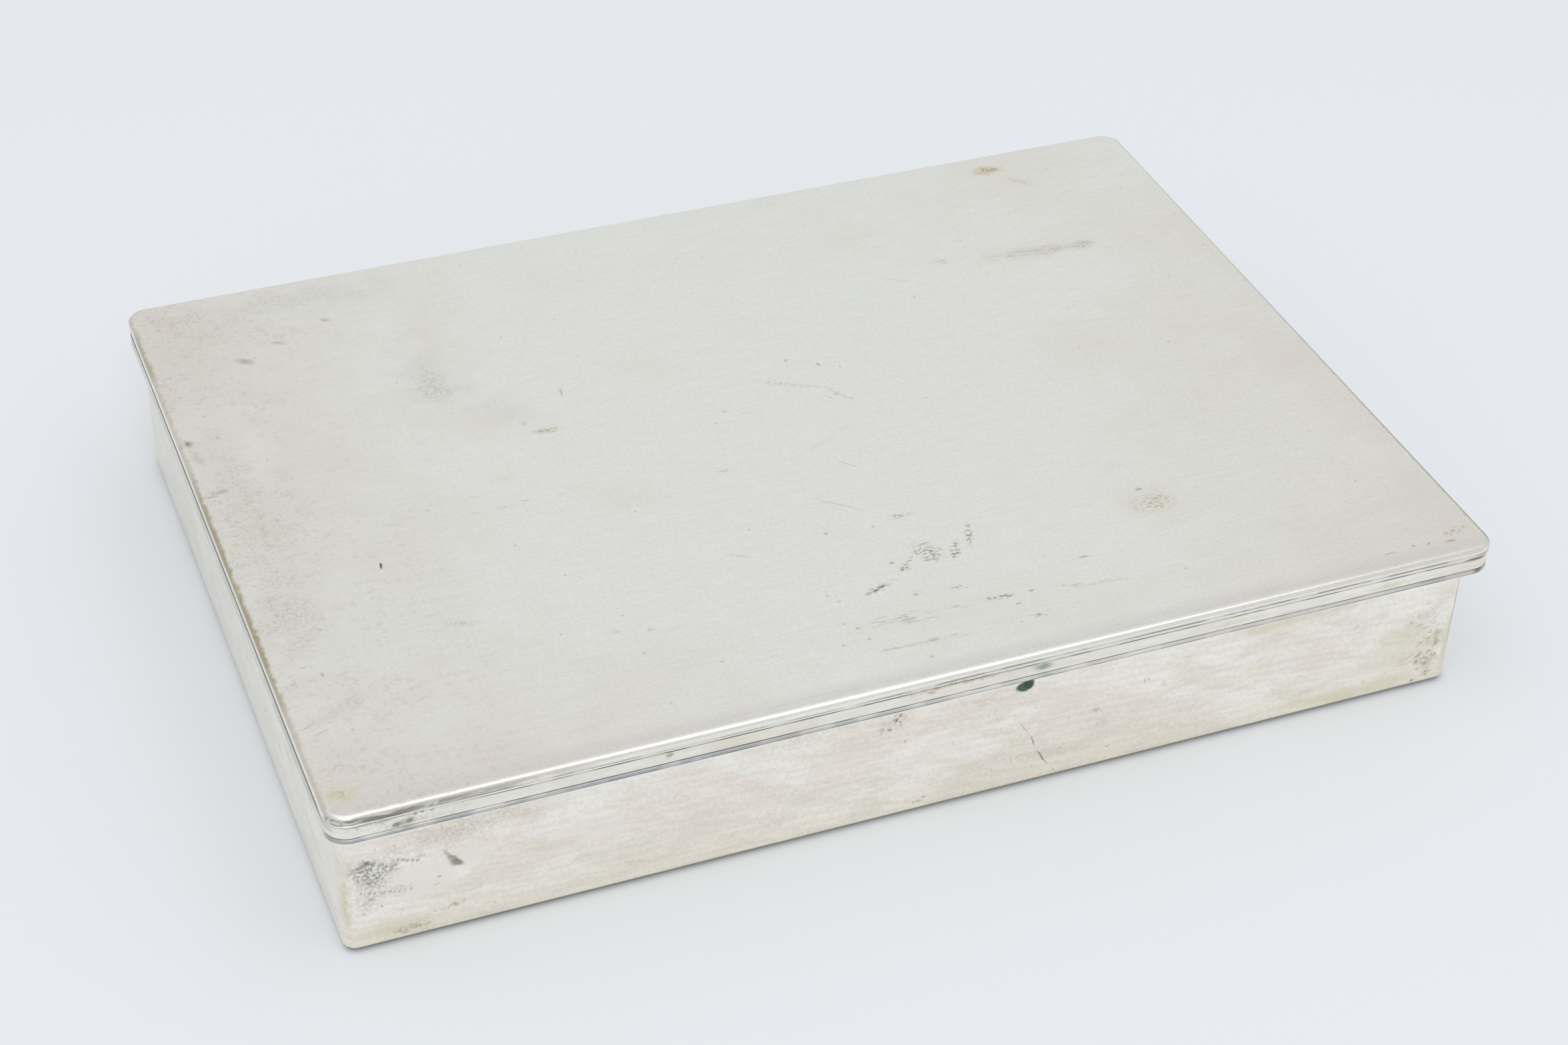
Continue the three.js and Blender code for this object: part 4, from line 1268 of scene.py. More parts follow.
@dataclass(frozen=True)
class EdgeFinish:
    """Brighter plate of the edge moulding, with grime and painted shade in its creases and painted shade on
    its bead.
    """

    left: float
    front: float
    heights: tuple[float, float, float]  # foot of the bead, its top and the band's top
    clean: Colour = (0.95, 0.915, 0.84)
    warm: Colour = (0.875, 0.825, 0.72)
    # Slate of the front bead: painted shade.
    slate: Colour = (0.37, 0.395, 0.41)
    # Dark of the crease lines: grime and painted shade.
    grime: Colour = (0.085, 0.09, 0.09)
    roughness: float = 0.24

    def make(self) -> bpy.types.Material:
        """Builds the material.

        Returns:
            The finished material.
        """
        graph = Graph("edge_plate")
        place = graph.place()
        x, y, z = graph.split(place)
        foot, bead_top, top = self.heights
        broad = graph.noise(graph.scaled(place, (0.4, 0.4, 1.0)), 5.0, 5.0, 0.5)
        smear = graph.noise(graph.scaled(place, (0.08, 0.08, 1.0)), 0.4, 4.0)
        colour = graph.blend(graph.step(broad, 0.42, 0.7), self.clean, self.warm)
        colour = graph.tinted(colour, graph.step(smear, 0.3, 0.7, 0.93, 1.03))
        broken = graph.step(graph.noise(graph.scaled(place, (0.5, 0.5, 1.0)), 3.0, 6.0), 0.4, 0.58, 0.5, 1.0)
        # Slate over the front bead, varying along it: painted shade.
        filled = graph.most(graph.step(x, 25.0, -45.0, 0.4, 0.85), graph.step(x, 60.0, 85.0, 0.0, 0.7))
        filled = graph.times(filled, graph.step(y, self.front + 4.0, self.front + 1.5, 0.3, 1.0))
        bead = graph.times(graph.step(z, bead_top + 0.06, bead_top - 0.08), filled)
        bead = graph.times(bead, graph.step(broken, 0.4, 1.0, 0.6, 1.0))
        colour = graph.blend(bead, colour, self.slate)
        # Dark lines in the crease under the plate, above the bead and under the bead: painted shade and
        # grime.
        dirt: Feed = 0.0
        for height, half in ((top - 0.42, 0.15), (bead_top, 0.14), (foot + 0.12, 0.15)):
            off = graph.gap(z, height)
            dirt = graph.most(dirt, graph.step(off, half, 0.35 * half))
        dirt = graph.times(dirt, graph.times(broken, graph.step(x, -55.0, -80.0, 0.9, 0.55)))
        # Darker under the plate's overhang and at the bead's foot, on the left end: painted shade.
        under_plate_shade = graph.step(z, top - 1.9, top - 1.4)
        recess_shade = graph.most(under_plate_shade, graph.step(z, foot + 0.5, foot + 0.25, 0.0, 0.8))
        end = graph.step(x, self.left + 1.6, self.left + 0.3, 0.0, 0.9)
        end = graph.times(end, graph.step(y, self.front + 1.5, self.front + 8.0, 0.3, 1.0))
        dirt = graph.most(dirt, graph.times(recess_shade, end))
        # Painted shade and grime of the creases and recesses.
        colour = graph.blend(dirt, colour, self.grime)
        marks = MarkedFace(Face.FRONT, self.front, RIM_MARKS)
        colour, hidden = marks.paint(graph, place, colour)
        # The painted shade and grime of the creases also dull the metal.
        hidden = graph.most(hidden, graph.times(dirt, 0.7))
        dull = self.roughness - 0.1
        rough = graph.total((broad, 0.1), (smear, 0.1), (hidden, 0.4), (bead, 0.2), (1.0, dull))
        return graph.metal(colour, hidden, 0.8, rough, graph.bump(smear, 0.004))


@dataclass(frozen=True)
class InnerPlateFinish:
    """Dull plate inside the lid, which was never polished."""

    clean: Colour = (0.72, 0.70, 0.645)
    dark: Colour = (0.53, 0.495, 0.42)
    spot: Colour = (0.2, 0.16, 0.11)
    roughness: float = 0.42

    def make(self) -> bpy.types.Material:
        """Builds the material.

        Returns:
            The finished material.
        """
        graph = Graph("inner_plate")
        place = graph.place()
        broad = graph.noise(place, 45.0, 4.0, 0.8)
        patchy = graph.noise(place, 9.0, 5.0, 0.5)
        rolled = graph.noise(graph.scaled(place, (0.03, 1.0, 1.0)), 0.6, 4.0)
        aged = graph.step(graph.total((broad, 1.0), (patchy, 0.5)), 0.6, 1.0)
        colour = graph.blend(aged, self.clean, self.dark)
        colour = graph.tinted(colour, graph.step(rolled, 0.3, 0.7, 0.9, 1.04))
        spots = graph.dots(place, 5.0, 0.5, 0.3)
        colour = graph.blend(graph.times(spots, 0.45), colour, self.spot)
        rough = graph.total((aged, 0.12), (rolled, 0.14), (1.0, self.roughness - 0.07))
        relief = graph.bump(rolled, 0.008)
        return graph.surface(Base_Color=colour, Metallic=1.0, Roughness=rough, Normal=relief)


@dataclass(frozen=True)
class HingeFinish:
    """Worn plate on the hinge tubes and pin, with brass showing on what rubs."""

    plate: Colour = (0.70, 0.68, 0.61)
    brass: Colour = (0.66, 0.49, 0.24)
    grime: Colour = (0.11, 0.095, 0.07)
    roughness: float = 0.34

    def make(self) -> bpy.types.Material:
        """Builds the material.

        Returns:
            The finished material.
        """
        graph = Graph("hinge_plate")
        place = graph.place()
        worn = graph.step(graph.noise(place, 2.6, 4.0, 0.4), 0.5, 0.66)
        turned = graph.noise(graph.scaled(place, (1.0, 0.08, 0.08)), 0.25, 3.0)
        dirt = graph.step(graph.noise(place, 1.1, 4.0), 0.58, 0.74)
        colour = graph.blend(worn, self.plate, self.brass)
        colour = graph.tinted(colour, graph.step(turned, 0.3, 0.7, 0.88, 1.05))
        colour = graph.blend(graph.times(dirt, 0.7), colour, self.grime)
        rough = graph.total((worn, -0.08), (dirt, 0.25), (turned, 0.12), (1.0, self.roughness - 0.06))
        return graph.metal(colour, dirt, 0.5, rough, graph.bump(turned, 0.01))


class Grain(Enum):
    """Direction of a board's grain."""

    ALONG_X = (1.0, 0.0, 0.0)
    ALONG_Y = (0.0, 1.0, 0.0)


@dataclass(frozen=True)
class CedarFinish:
    """Bare reddish cedar: growth bands, fine fibres and short dark pores along the grain."""

    name: str
    grain: Grain
    seed: float  # moves the pattern, so that no two boards are alike
    pale: Colour = (0.46, 0.225, 0.105)
    dark: Colour = (0.255, 0.105, 0.045)
    pore: Colour = (0.10, 0.04, 0.02)
    roughness: float = 0.62

    def along(self, shrink: float) -> tuple[float, float, float]:
        """Factors that stretch a pattern along the grain: shrink along it and 1 across it."""
        return tuple(shrink if share else 1.0 for share in self.grain.value)

    def make(self) -> bpy.types.Material:
        """Builds the material.

        Returns:
            The finished material.
        """
        graph = Graph(self.name)
        away = (self.seed, self.seed * 0.7, self.seed * 1.3)
        place = graph.vectors("ADD", graph.place(), away)
        bands = graph.noise(graph.scaled(place, self.along(0.045)), 5.5, 3.0, 0.8)
        figure = graph.noise(graph.scaled(place, self.along(0.1)), 16.0, 3.0, 0.4)
        fibre = graph.noise(graph.scaled(place, self.along(0.02)), 0.28, 4.0)
        colour = graph.blend(graph.step(bands, 0.36, 0.66), self.pale, self.dark)
        colour = graph.tinted(colour, graph.step(figure, 0.3, 0.7, 0.82, 1.16))
        colour = graph.tinted(colour, graph.step(fibre, 0.28, 0.72, 0.76, 1.2))
        pores = graph.dots(graph.scaled(place, self.along(0.11)), 0.85, 0.2, 0.5, "3D")
        colour = graph.blend(graph.times(pores, 0.7), colour, self.pore)
        relief = graph.total((fibre, 0.5), (pores, -0.8), (bands, 0.3))
        rough = graph.total((fibre, 0.2), (pores, 0.1), (1.0, self.roughness - 0.1))
        return graph.surface(Base_Color=colour, Roughness=rough, Normal=graph.bump(relief, 0.05))


@dataclass(frozen=True)
class FeltFinish:
    """Thin dark felt of matted fibres."""

    dark: Colour = (0.012, 0.016, 0.011)
    light: Colour = (0.045, 0.052, 0.038)
    roughness: float = 0.95
    sheen: float = 0.25
    sheen_roughness: float = 0.5

    def make(self) -> bpy.types.Material:
        """Builds the material.

        Returns:
            The finished material.
        """
        graph = Graph("felt")
        place = graph.place()
        matted = graph.noise(place, 0.35, 5.0, 1.5)
        thick = graph.noise(place, 7.0, 3.0)
        colour = graph.blend(graph.step(matted, 0.35, 0.7), self.dark, self.light)
        colour = graph.tinted(colour, graph.step(thick, 0.3, 0.7, 0.75, 1.25))
        return graph.surface(
            Base_Color=colour,
            Roughness=self.roughness,
            Sheen_Weight=self.sheen,
            Sheen_Roughness=self.sheen_roughness,
            Normal=graph.bump(matted, 0.12),
        )


def dress(piece: bpy.types.Object, *finishes: bpy.types.Material) -> None:
    """Gives a piece its finishes, in the order of its faces' numbers.

    Args:
        piece: The piece.
        finishes: Its materials.
    """
    piece.data.materials.clear()
    for finish in finishes:
        piece.data.materials.append(finish)


def fit(piece: bpy.types.Object, body: str, slot: str, *nodes: str) -> None:
    """Lets a piece move with a body, in place of the solids that it stands for.

    Args:
        piece: The piece.
        body: The body that it rides on.
        slot: The material slot of its finish. It is not used.
        nodes: The solids that it stands for.
    """
    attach(piece, body)
    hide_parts(*nodes)
    LOG.info("%s: %d faces on %s, for %s", piece.name, len(piece.data.polygons), body, ", ".join(nodes))


# The box


@dataclass
class Tray:
    """Drawn tray with its felt and the strip that carries the hinge."""

    shell: Span = packed("body_shell")
    felt: Span = packed("base_felt")
    bearer: Span = packed("hinge_bearer")
    floor: Span = packed("floor_liner")
    corner: float = 2.0
    sheet: float = 0.8
    foot_round: float = 0.7
    foot_steps: int = 8
    rim_round: float = 0.14
    rim_steps: int = 4
    inner_chamfer: float = 0.4
    glue_line: float = 0.05
    side_step: float = 1.8
    ring_step: float = 0.9
    wave_depth: float = 0.09
    wave_pitch: float = 38.0
    wave_seed: int = 3
    foot_calm: Pair = (1.0, 5.0)  # distances from the foot between which the waves grow
    rim_calm: Pair = (0.4, 4.0)  # the same from the rim
    corner_calm: Pair = (2.5, 14.0)  # the same from the corners
    dent_middle: Pair = (-73.8, 13.2)
    dent_reach: Pair = (1.7, 1.3)
    dent_depth: float = 0.32
    dent_side: float = 6.0  # how far the closer points go on each side of the dent
    dent_step: float = 0.45
    dent_rings: tuple[float, float, float] = (10.5, 17.5, 0.42)  # from, to and step of the closer rings
    upper_ring: float = 17.6  # first ring above them
    felt_corner: float = 1.5
    felt_bend: int = 6
    felt_step: float = 0.7
    felt_round: float = 0.12
    felt_border: float = 0.5
    felt_crisp: float = 60.0
    fray_depth: float = 0.09
    fray_pitch: float = 2.3
    fray_seed: int = 11
    strip_bevel: float = 0.12

    def build(self) -> None:
        """Builds and fits the tray's pieces."""
        wall = WallPlateFinish(self.shell.low[1], self.shell.low[2]).make()
        shell = self.make_shell()
        dress(shell, wall)
        fit(shell, "box", "silver_plate", "body_shell")
        strip = board("hinge_strip", self.bearer, self.strip_bevel)
        dress(strip, wall)
        fit(strip, "box", "silver_plate", "hinge_bearer")
        pad = self.make_felt()
        dress(pad, FeltFinish().make())
        fit(pad, "box", "baize", "base_felt")

    def make_shell(self) -> bpy.types.Object:
        """Tray with rounded foot, rolled rim and the notch for the hinge.

        Returns:
            The new piece.
        """
        low, high = self.shell.low[2], self.shell.high[2]
        length, width, _ = self.shell.size
        near = (self.dent_middle[0] - self.dent_side, self.dent_middle[0] + self.dent_side, self.dent_step)
        plan = Outline(length, width, self.corner, self.shell.middle[0], self.side_step, dense=near)
        foot, rim, chamfer = self.foot_round, self.rim_round, self.inner_chamfer
        inner_floor = self.floor.low[2] - self.glue_line
        lower = np.arange(low + foot + self.ring_step, self.dent_rings[0], self.ring_step)
        upper = np.arange(self.upper_ring, high - rim, self.ring_step)
        profile = arc((foot, low + foot), (-foot, -foot), 90.0, 0.0, self.foot_steps)
        profile += [(0.0, height) for height in (*lower, *np.arange(*self.dent_rings), *upper)]
        profile += arc((rim, high - rim), (-rim, rim), 0.0, 90.0, self.rim_steps)
        profile += arc((self.sheet - rim, high - rim), (rim, rim), 90.0, 0.0, self.rim_steps)
        profile += [(self.sheet, inner_floor + chamfer), (self.sheet + chamfer, inner_floor)]
        skin = Skin()
        skin.solid(plan.rings(profile))
        self.warp(skin.points)
        piece = skin.piece("tray_shell")
        self.notch(piece)
        return piece

    def warp(self, points: np.ndarray) -> None:
        """Makes the walls slightly uneven and dents the front.

        Args:
            points: The tray's points, changed in place.
        """
        x, y, z = points.T
        low, high = self.shell.low, self.shell.high
        upright = ease(z - low[2], *self.foot_calm) * ease(high[2] - z, *self.rim_calm)
        for axis, side, across in ((1, low[1], x), (1, high[1], x), (0, low[0], y), (0, high[0], y)):
            outer = np.abs(points[:, axis] - side) < self.sheet / 4
            ends = np.minimum(across - across.min(), across.max() - across)
            swell = upright * ease(ends, *self.corner_calm) * self.wave_depth
            push = swell * ripple(across, z, self.wave_pitch, self.wave_seed + axis)
            points[:, axis] -= np.where(outer, np.sign(side) * push, 0.0)
        off = ((x - self.dent_middle[0]) / self.dent_reach[0]) ** 2
        off = off + ((z - self.dent_middle[1]) / self.dent_reach[1]) ** 2
        front = np.abs(y - low[1]) < self.sheet / 2
        points[:, 1] += np.where(front, self.dent_depth * np.exp(-off), 0.0)

    def notch(self, piece: bpy.types.Object) -> None:
        """Cuts the back wall out for the hinge and its strip.

        Args:
            piece: The tray.
        """
        beside, past = self.glue_line, 1.0
        low = np.array([self.bearer.low[0] - beside, self.bearer.low[1] - past, self.bearer.low[2] - beside])
        high = np.array([self.bearer.high[0] + beside, self.shell.high[1] + past, self.shell.high[2] + past])
        cut_away(piece, low, high)
        settle(piece.data)

    def make_felt(self) -> bpy.types.Object:
        """Thin pad with a slightly frayed edge.

        Returns:
            The new piece.
        """
        length, width, _ = self.felt.size
        low, high = self.felt.low[2], self.felt.high[2]
        plan = Outline(length, width, self.felt_corner, self.felt.middle[0], self.felt_step, self.felt_bend)
        flat, eased = self.felt_border, self.felt_round
        profile = [(flat, low), (eased, low), (0.0, low + eased)]
        profile += [(0.0, high - eased), (eased, high), (flat, high)]
        skin = Skin()
        skin.solid(plan.rings(profile))
        x, y, z = skin.points.T
        fray = self.fray_depth * ripple(x + 3.0 * z, y - 2.0 * z, self.fray_pitch, self.fray_seed)
        skin.points[:, 0] -= np.sign(x - plan.middle) * fray
        skin.points[:, 1] -= np.sign(y) * fray
        return skin.piece("felt_pad", self.felt_crisp)


def board(name: str, span: Span, bevel: float) -> bpy.types.Object:
    """Straight board with eased edges."""
    plan = np.array([[0, 0], [1, 0], [1, 1], [0, 1]]) * span.size[:2] + span.low[:2]
    return plank(name, plan, span.low[2], span.high[2], bevel)


def plank(name: str, plan: np.ndarray, low: float, high: float, bevel: float) -> bpy.types.Object:
    """Upright board of any plan with eased edges.

    Args:
        name: Name of the new piece.
        plan: Corners seen from above, anticlockwise.
        low: Height of its foot.
        high: Height of its top.
        bevel: How far its edges are eased.

    Returns:
        The new piece.
    """
    facets = 3
    eased_from, crisp_from = 50.0, 40.0  # turns of its edges in degrees
    form = bmesh.new()
    foot = form.faces.new([form.verts.new((x * MM, y * MM, low * MM)) for x, y in plan])
    grown = bmesh.ops.extrude_face_region(form, geom=[foot])
    for vert in (item for item in grown["geom"] if isinstance(item, bmesh.types.BMVert)):
        vert.co.z = high * MM
    bmesh.ops.recalc_face_normals(form, faces=form.faces)
    edges = [edge for edge in form.edges if edge.calc_face_angle(0.0) > math.radians(eased_from)]
    bmesh.ops.bevel(
        form,
        geom=edges,
        offset=bevel * MM,
        offset_type="OFFSET",
        segments=facets,
        profile=0.5,
        affect="EDGES",
        clamp_overlap=True,
    )
    bmesh.ops.recalc_face_normals(form, faces=form.faces)
    mesh = bpy.data.meshes.new(name)
    form.to_mesh(mesh)
    form.free()
    shade(mesh, crisp_from)
    return link(name, mesh)


@dataclass
class Lining:
    """Cedar boards on the bottom and inside the walls, and the divider."""

    floor: Span = packed("floor_liner")
    front: Span = packed("front_liner")
    divider: Span = packed("divider")
    corner: float = 1.1
    corner_steps: int = 6
    side_step: float = 30.0
    thickness: float = 2.5
    board_gap: float = 0.1
    eased: float = 0.45
    floor_eased: float = 0.2
    long_shift: float = 37.0  # how far the grain's pattern moves from one long board to the next
    short_shift: float = 53.0  # the same for the short boards

    def build(self) -> None:
        """Builds and fits the boards."""
        bottom = self.make_floor()
        dress(bottom, CedarFinish("cedar_floor", Grain.ALONG_X, 0.0).make())
        fit(bottom, "box", "cedar", "floor_liner")
        for number, (side, node) in enumerate(((-1, "front_liner"), (1, "back_liner")), 1):
            wall = self.make_long_board(node.replace("liner", "board"), side)
            dress(wall, CedarFinish("cedar_" + node, Grain.ALONG_X, self.long_shift * number).make())
            fit(wall, "box", "cedar", node)
        for number, node in enumerate(("left_liner", "right_liner", "divider"), 3):
            piece = board(node.replace("liner", "board") + "_cedar", Span.of(node), self.eased)
            dress(piece, CedarFinish("cedar_" + node, Grain.ALONG_Y, self.short_shift * number).make())
            fit(piece, "box", "cedar", node)

    def make_floor(self) -> bpy.types.Object:
        """Bottom board, rounded into the tray's corners.

        Returns:
            The new piece.
        """
        length, width, _ = self.floor.size
        low, high = self.floor.low[2], self.floor.high[2]
        plan = Outline(length, width, self.corner, self.floor.middle[0], self.side_step, self.corner_steps)
        eased = self.floor_eased
        skin = Skin()
        skin.solid(plan.rings([(eased, low), (0.0, low + eased), (0.0, high - eased), (eased, high)]))
        return skin.piece("floor_board")

    def make_long_board(self, name: str, side: int) -> bpy.types.Object:
        """Front or back board with round outer corners and the divider's groove.

        Args:
            name: Name of the new piece.
            side: -1 for the front and 1 for the back.

        Returns:
            The new piece.
        """
        left, right = self.front.low[0], self.front.high[0]
        outer = self.front.low[1]
        inner = outer + self.thickness
        groove_left = self.divider.low[0] - self.board_gap
        groove_right = self.divider.high[0] + self.board_gap
        groove = self.divider.low[1] - self.board_gap
        radius = (self.corner, self.corner)
        plan = [(right, inner), (groove_right, inner), (groove_right, groove)]
        plan += [(groove_left, groove), (groove_left, inner), (left, inner)]
        plan += arc((left + self.corner, outer + self.corner), radius, 180.0, 270.0, self.corner_steps)
        plan += arc((right - self.corner, outer + self.corner), radius, 270.0, 360.0, self.corner_steps)
        corners = np.array(plan)
        if side > 0:
            corners = corners[::-1] * (1.0, -1.0)
        return plank(name, corners, self.front.low[2], self.front.high[2], self.eased)


@dataclass
class Hinge:
    """Rolled tubes on the tray and in the lid, and the pin through them."""

    pin: Span = packed("hinge_pin")
    tube: Span = packed("body_knuckle_1")
    leaf: Span = packed("lid_knuckle_1")
    radius: float = 1.2
    bore: float = 0.65
    sheet_round: float = 0.14
    round_steps: int = 3
    roll_steps: int = 28
    body_roll: Pair = (180.0, -138.0)  # first and last angle of the roll, in degrees
    lid_roll: Pair = (-6.0, -318.0)
    body_count: int = 4
    lid_count: int = 3
    pin_sides: int = 32
    dome_share: float = 0.6  # height of the pin's domed ends, as a share of its radius
    dome_steps: int = 6
    tip: float = 0.05

    def build(self) -> None:
        """Builds and fits the tubes and the pin."""
        finish = HingeFinish().make()
        rows = (
            ("tray_hinge_tubes", "box", "body_knuckle", self.body_route(), self.body_count),
            ("lid_hinge_tubes", "lid", "lid_knuckle", self.lid_route(), self.lid_count),
        )
        for name, body, node, route, count in rows:
            tubes = self.make_tubes(name, route, count, finish)
            fit(tubes, body, "hinge_metal", *(f"{node}_{i + 1}" for i in range(count)))
        wire_pin = self.make_pin()
        dress(wire_pin, finish)
        fit(wire_pin, "box", "hinge_metal", "hinge_pin")

    @property
    def sheet(self) -> float:
        """Thickness of the rolled strip."""
        return self.radius - self.bore

    @property
    def roll(self) -> float:
        """Radius of the middle of the rolled strip."""
        return (self.radius + self.bore) / 2

    def route(self, start: Pair, first: float, last: float) -> np.ndarray:
        """Middle line of a strip from its leaf's end round the pin.

        Args:
            start: End of the leaf, across and up.
            first: Angle where the roll begins, in degrees.
            last: Angle where the roll ends.

        Returns:
            Points of the line, in space.
        """
        _, y, z = self.pin.middle
        rolled = arc((y, z), (self.roll, self.roll), first, last, self.roll_steps)
        return np.array([(0.0, across, up) for across, up in [start, *rolled]])

    def body_route(self) -> np.ndarray:
        """Line of the tray's strips, which stand on the wall's strip."""
        start = (self.tube.low[1] + self.sheet / 2, self.tube.low[2])
        return self.route(start, *self.body_roll)

    def lid_route(self) -> np.ndarray:
        """Line of the lid's strips, which hang from the plate."""
        start = (self.leaf.high[1] - self.sheet / 2, self.leaf.high[2])
        return self.route(start, *self.lid_roll)

    def make_tubes(
        self, name: str, route: np.ndarray, count: int, finish: bpy.types.Material
    ) -> bpy.types.Object:
        """Rolled strips, repeated along the pin by a node tree.

        Args:
            name: Name of the new piece.
            route: Middle line of one strip.
            count: Number of strips.
            finish: Their material.

        Returns:
            The new piece.
        """
        piece = wire(name, route, False)
        recipe = Recipe(name)
        length = recipe.size("Tube length", self.tube.size[0])
        feeds = {"Width": length, "Height": recipe.size("Sheet", self.sheet)}
        section = recipe.result("GeometryNodeCurvePrimitiveQuadrilateral", feeds)
        rounding = recipe.size("Sheet round", self.sheet_round)
        feeds = {"Curve": section, "Count": self.round_steps, "Radius": rounding}
        eased = recipe.result("GeometryNodeFilletCurve", feeds, mode="POLY")
        path = recipe.result("GeometryNodeMeshToCurve", {"Mesh": recipe.start})
        feeds = {"Curve": path, "Profile Curve": eased, "Fill Caps": True}
        strip = recipe.result("GeometryNodeCurveToMesh", feeds)
        number = recipe.count("Tubes", count)
        step = recipe.size("Pitch", 2.0 * (self.leaf.low[0] - self.tube.low[0]))
        spread = recipe.math("MULTIPLY", recipe.math("SUBTRACT", number, 1.0), step)
        middle = recipe.size("Middle of the pin", self.pin.middle[0])
        first = recipe.math("SUBTRACT", middle, recipe.math("MULTIPLY", spread, 0.5))
        feeds = {"Count": number, "Start Location": recipe.vector(first), "Offset": recipe.vector(step)}
        line = recipe.result("GeometryNodeMeshLine", feeds)
        copies = recipe.result("GeometryNodeInstanceOnPoints", {"Points": line, "Instance": strip})
        recipe.run(piece, copies, finish)
        settle(piece.data)
        return piece

    def make_pin(self) -> bpy.types.Object:
        """Wire with domed ends.

        Returns:
            The new piece.
        """
        radius = self.pin.size[1] / 2
        _, y, z = self.pin.middle
        left, right = self.pin.low[0], self.pin.high[0]
        dome = radius * self.dome_share
        rises = np.radians(np.linspace(90.0, 0.0, self.dome_steps + 1)[:-1])
        ends = [(left + dome * (1 - math.sin(a)), max(radius * math.cos(a), self.tip)) for a in rises]
        profile = ends + [(left + dome, radius), (right - dome, radius)]
        profile += [(left + right - x, r) for x, r in reversed(ends)]
        turns = np.linspace(0.0, 2.0 * math.pi, self.pin_sides, endpoint=False)
        skin = Skin()
        skin.solid(
            [
                np.column_stack([np.full(self.pin_sides, x), y + r * np.cos(turns), z + r * np.sin(turns)])
                for x, r in profile
            ]
        )
        return skin.piece("pin_wire")


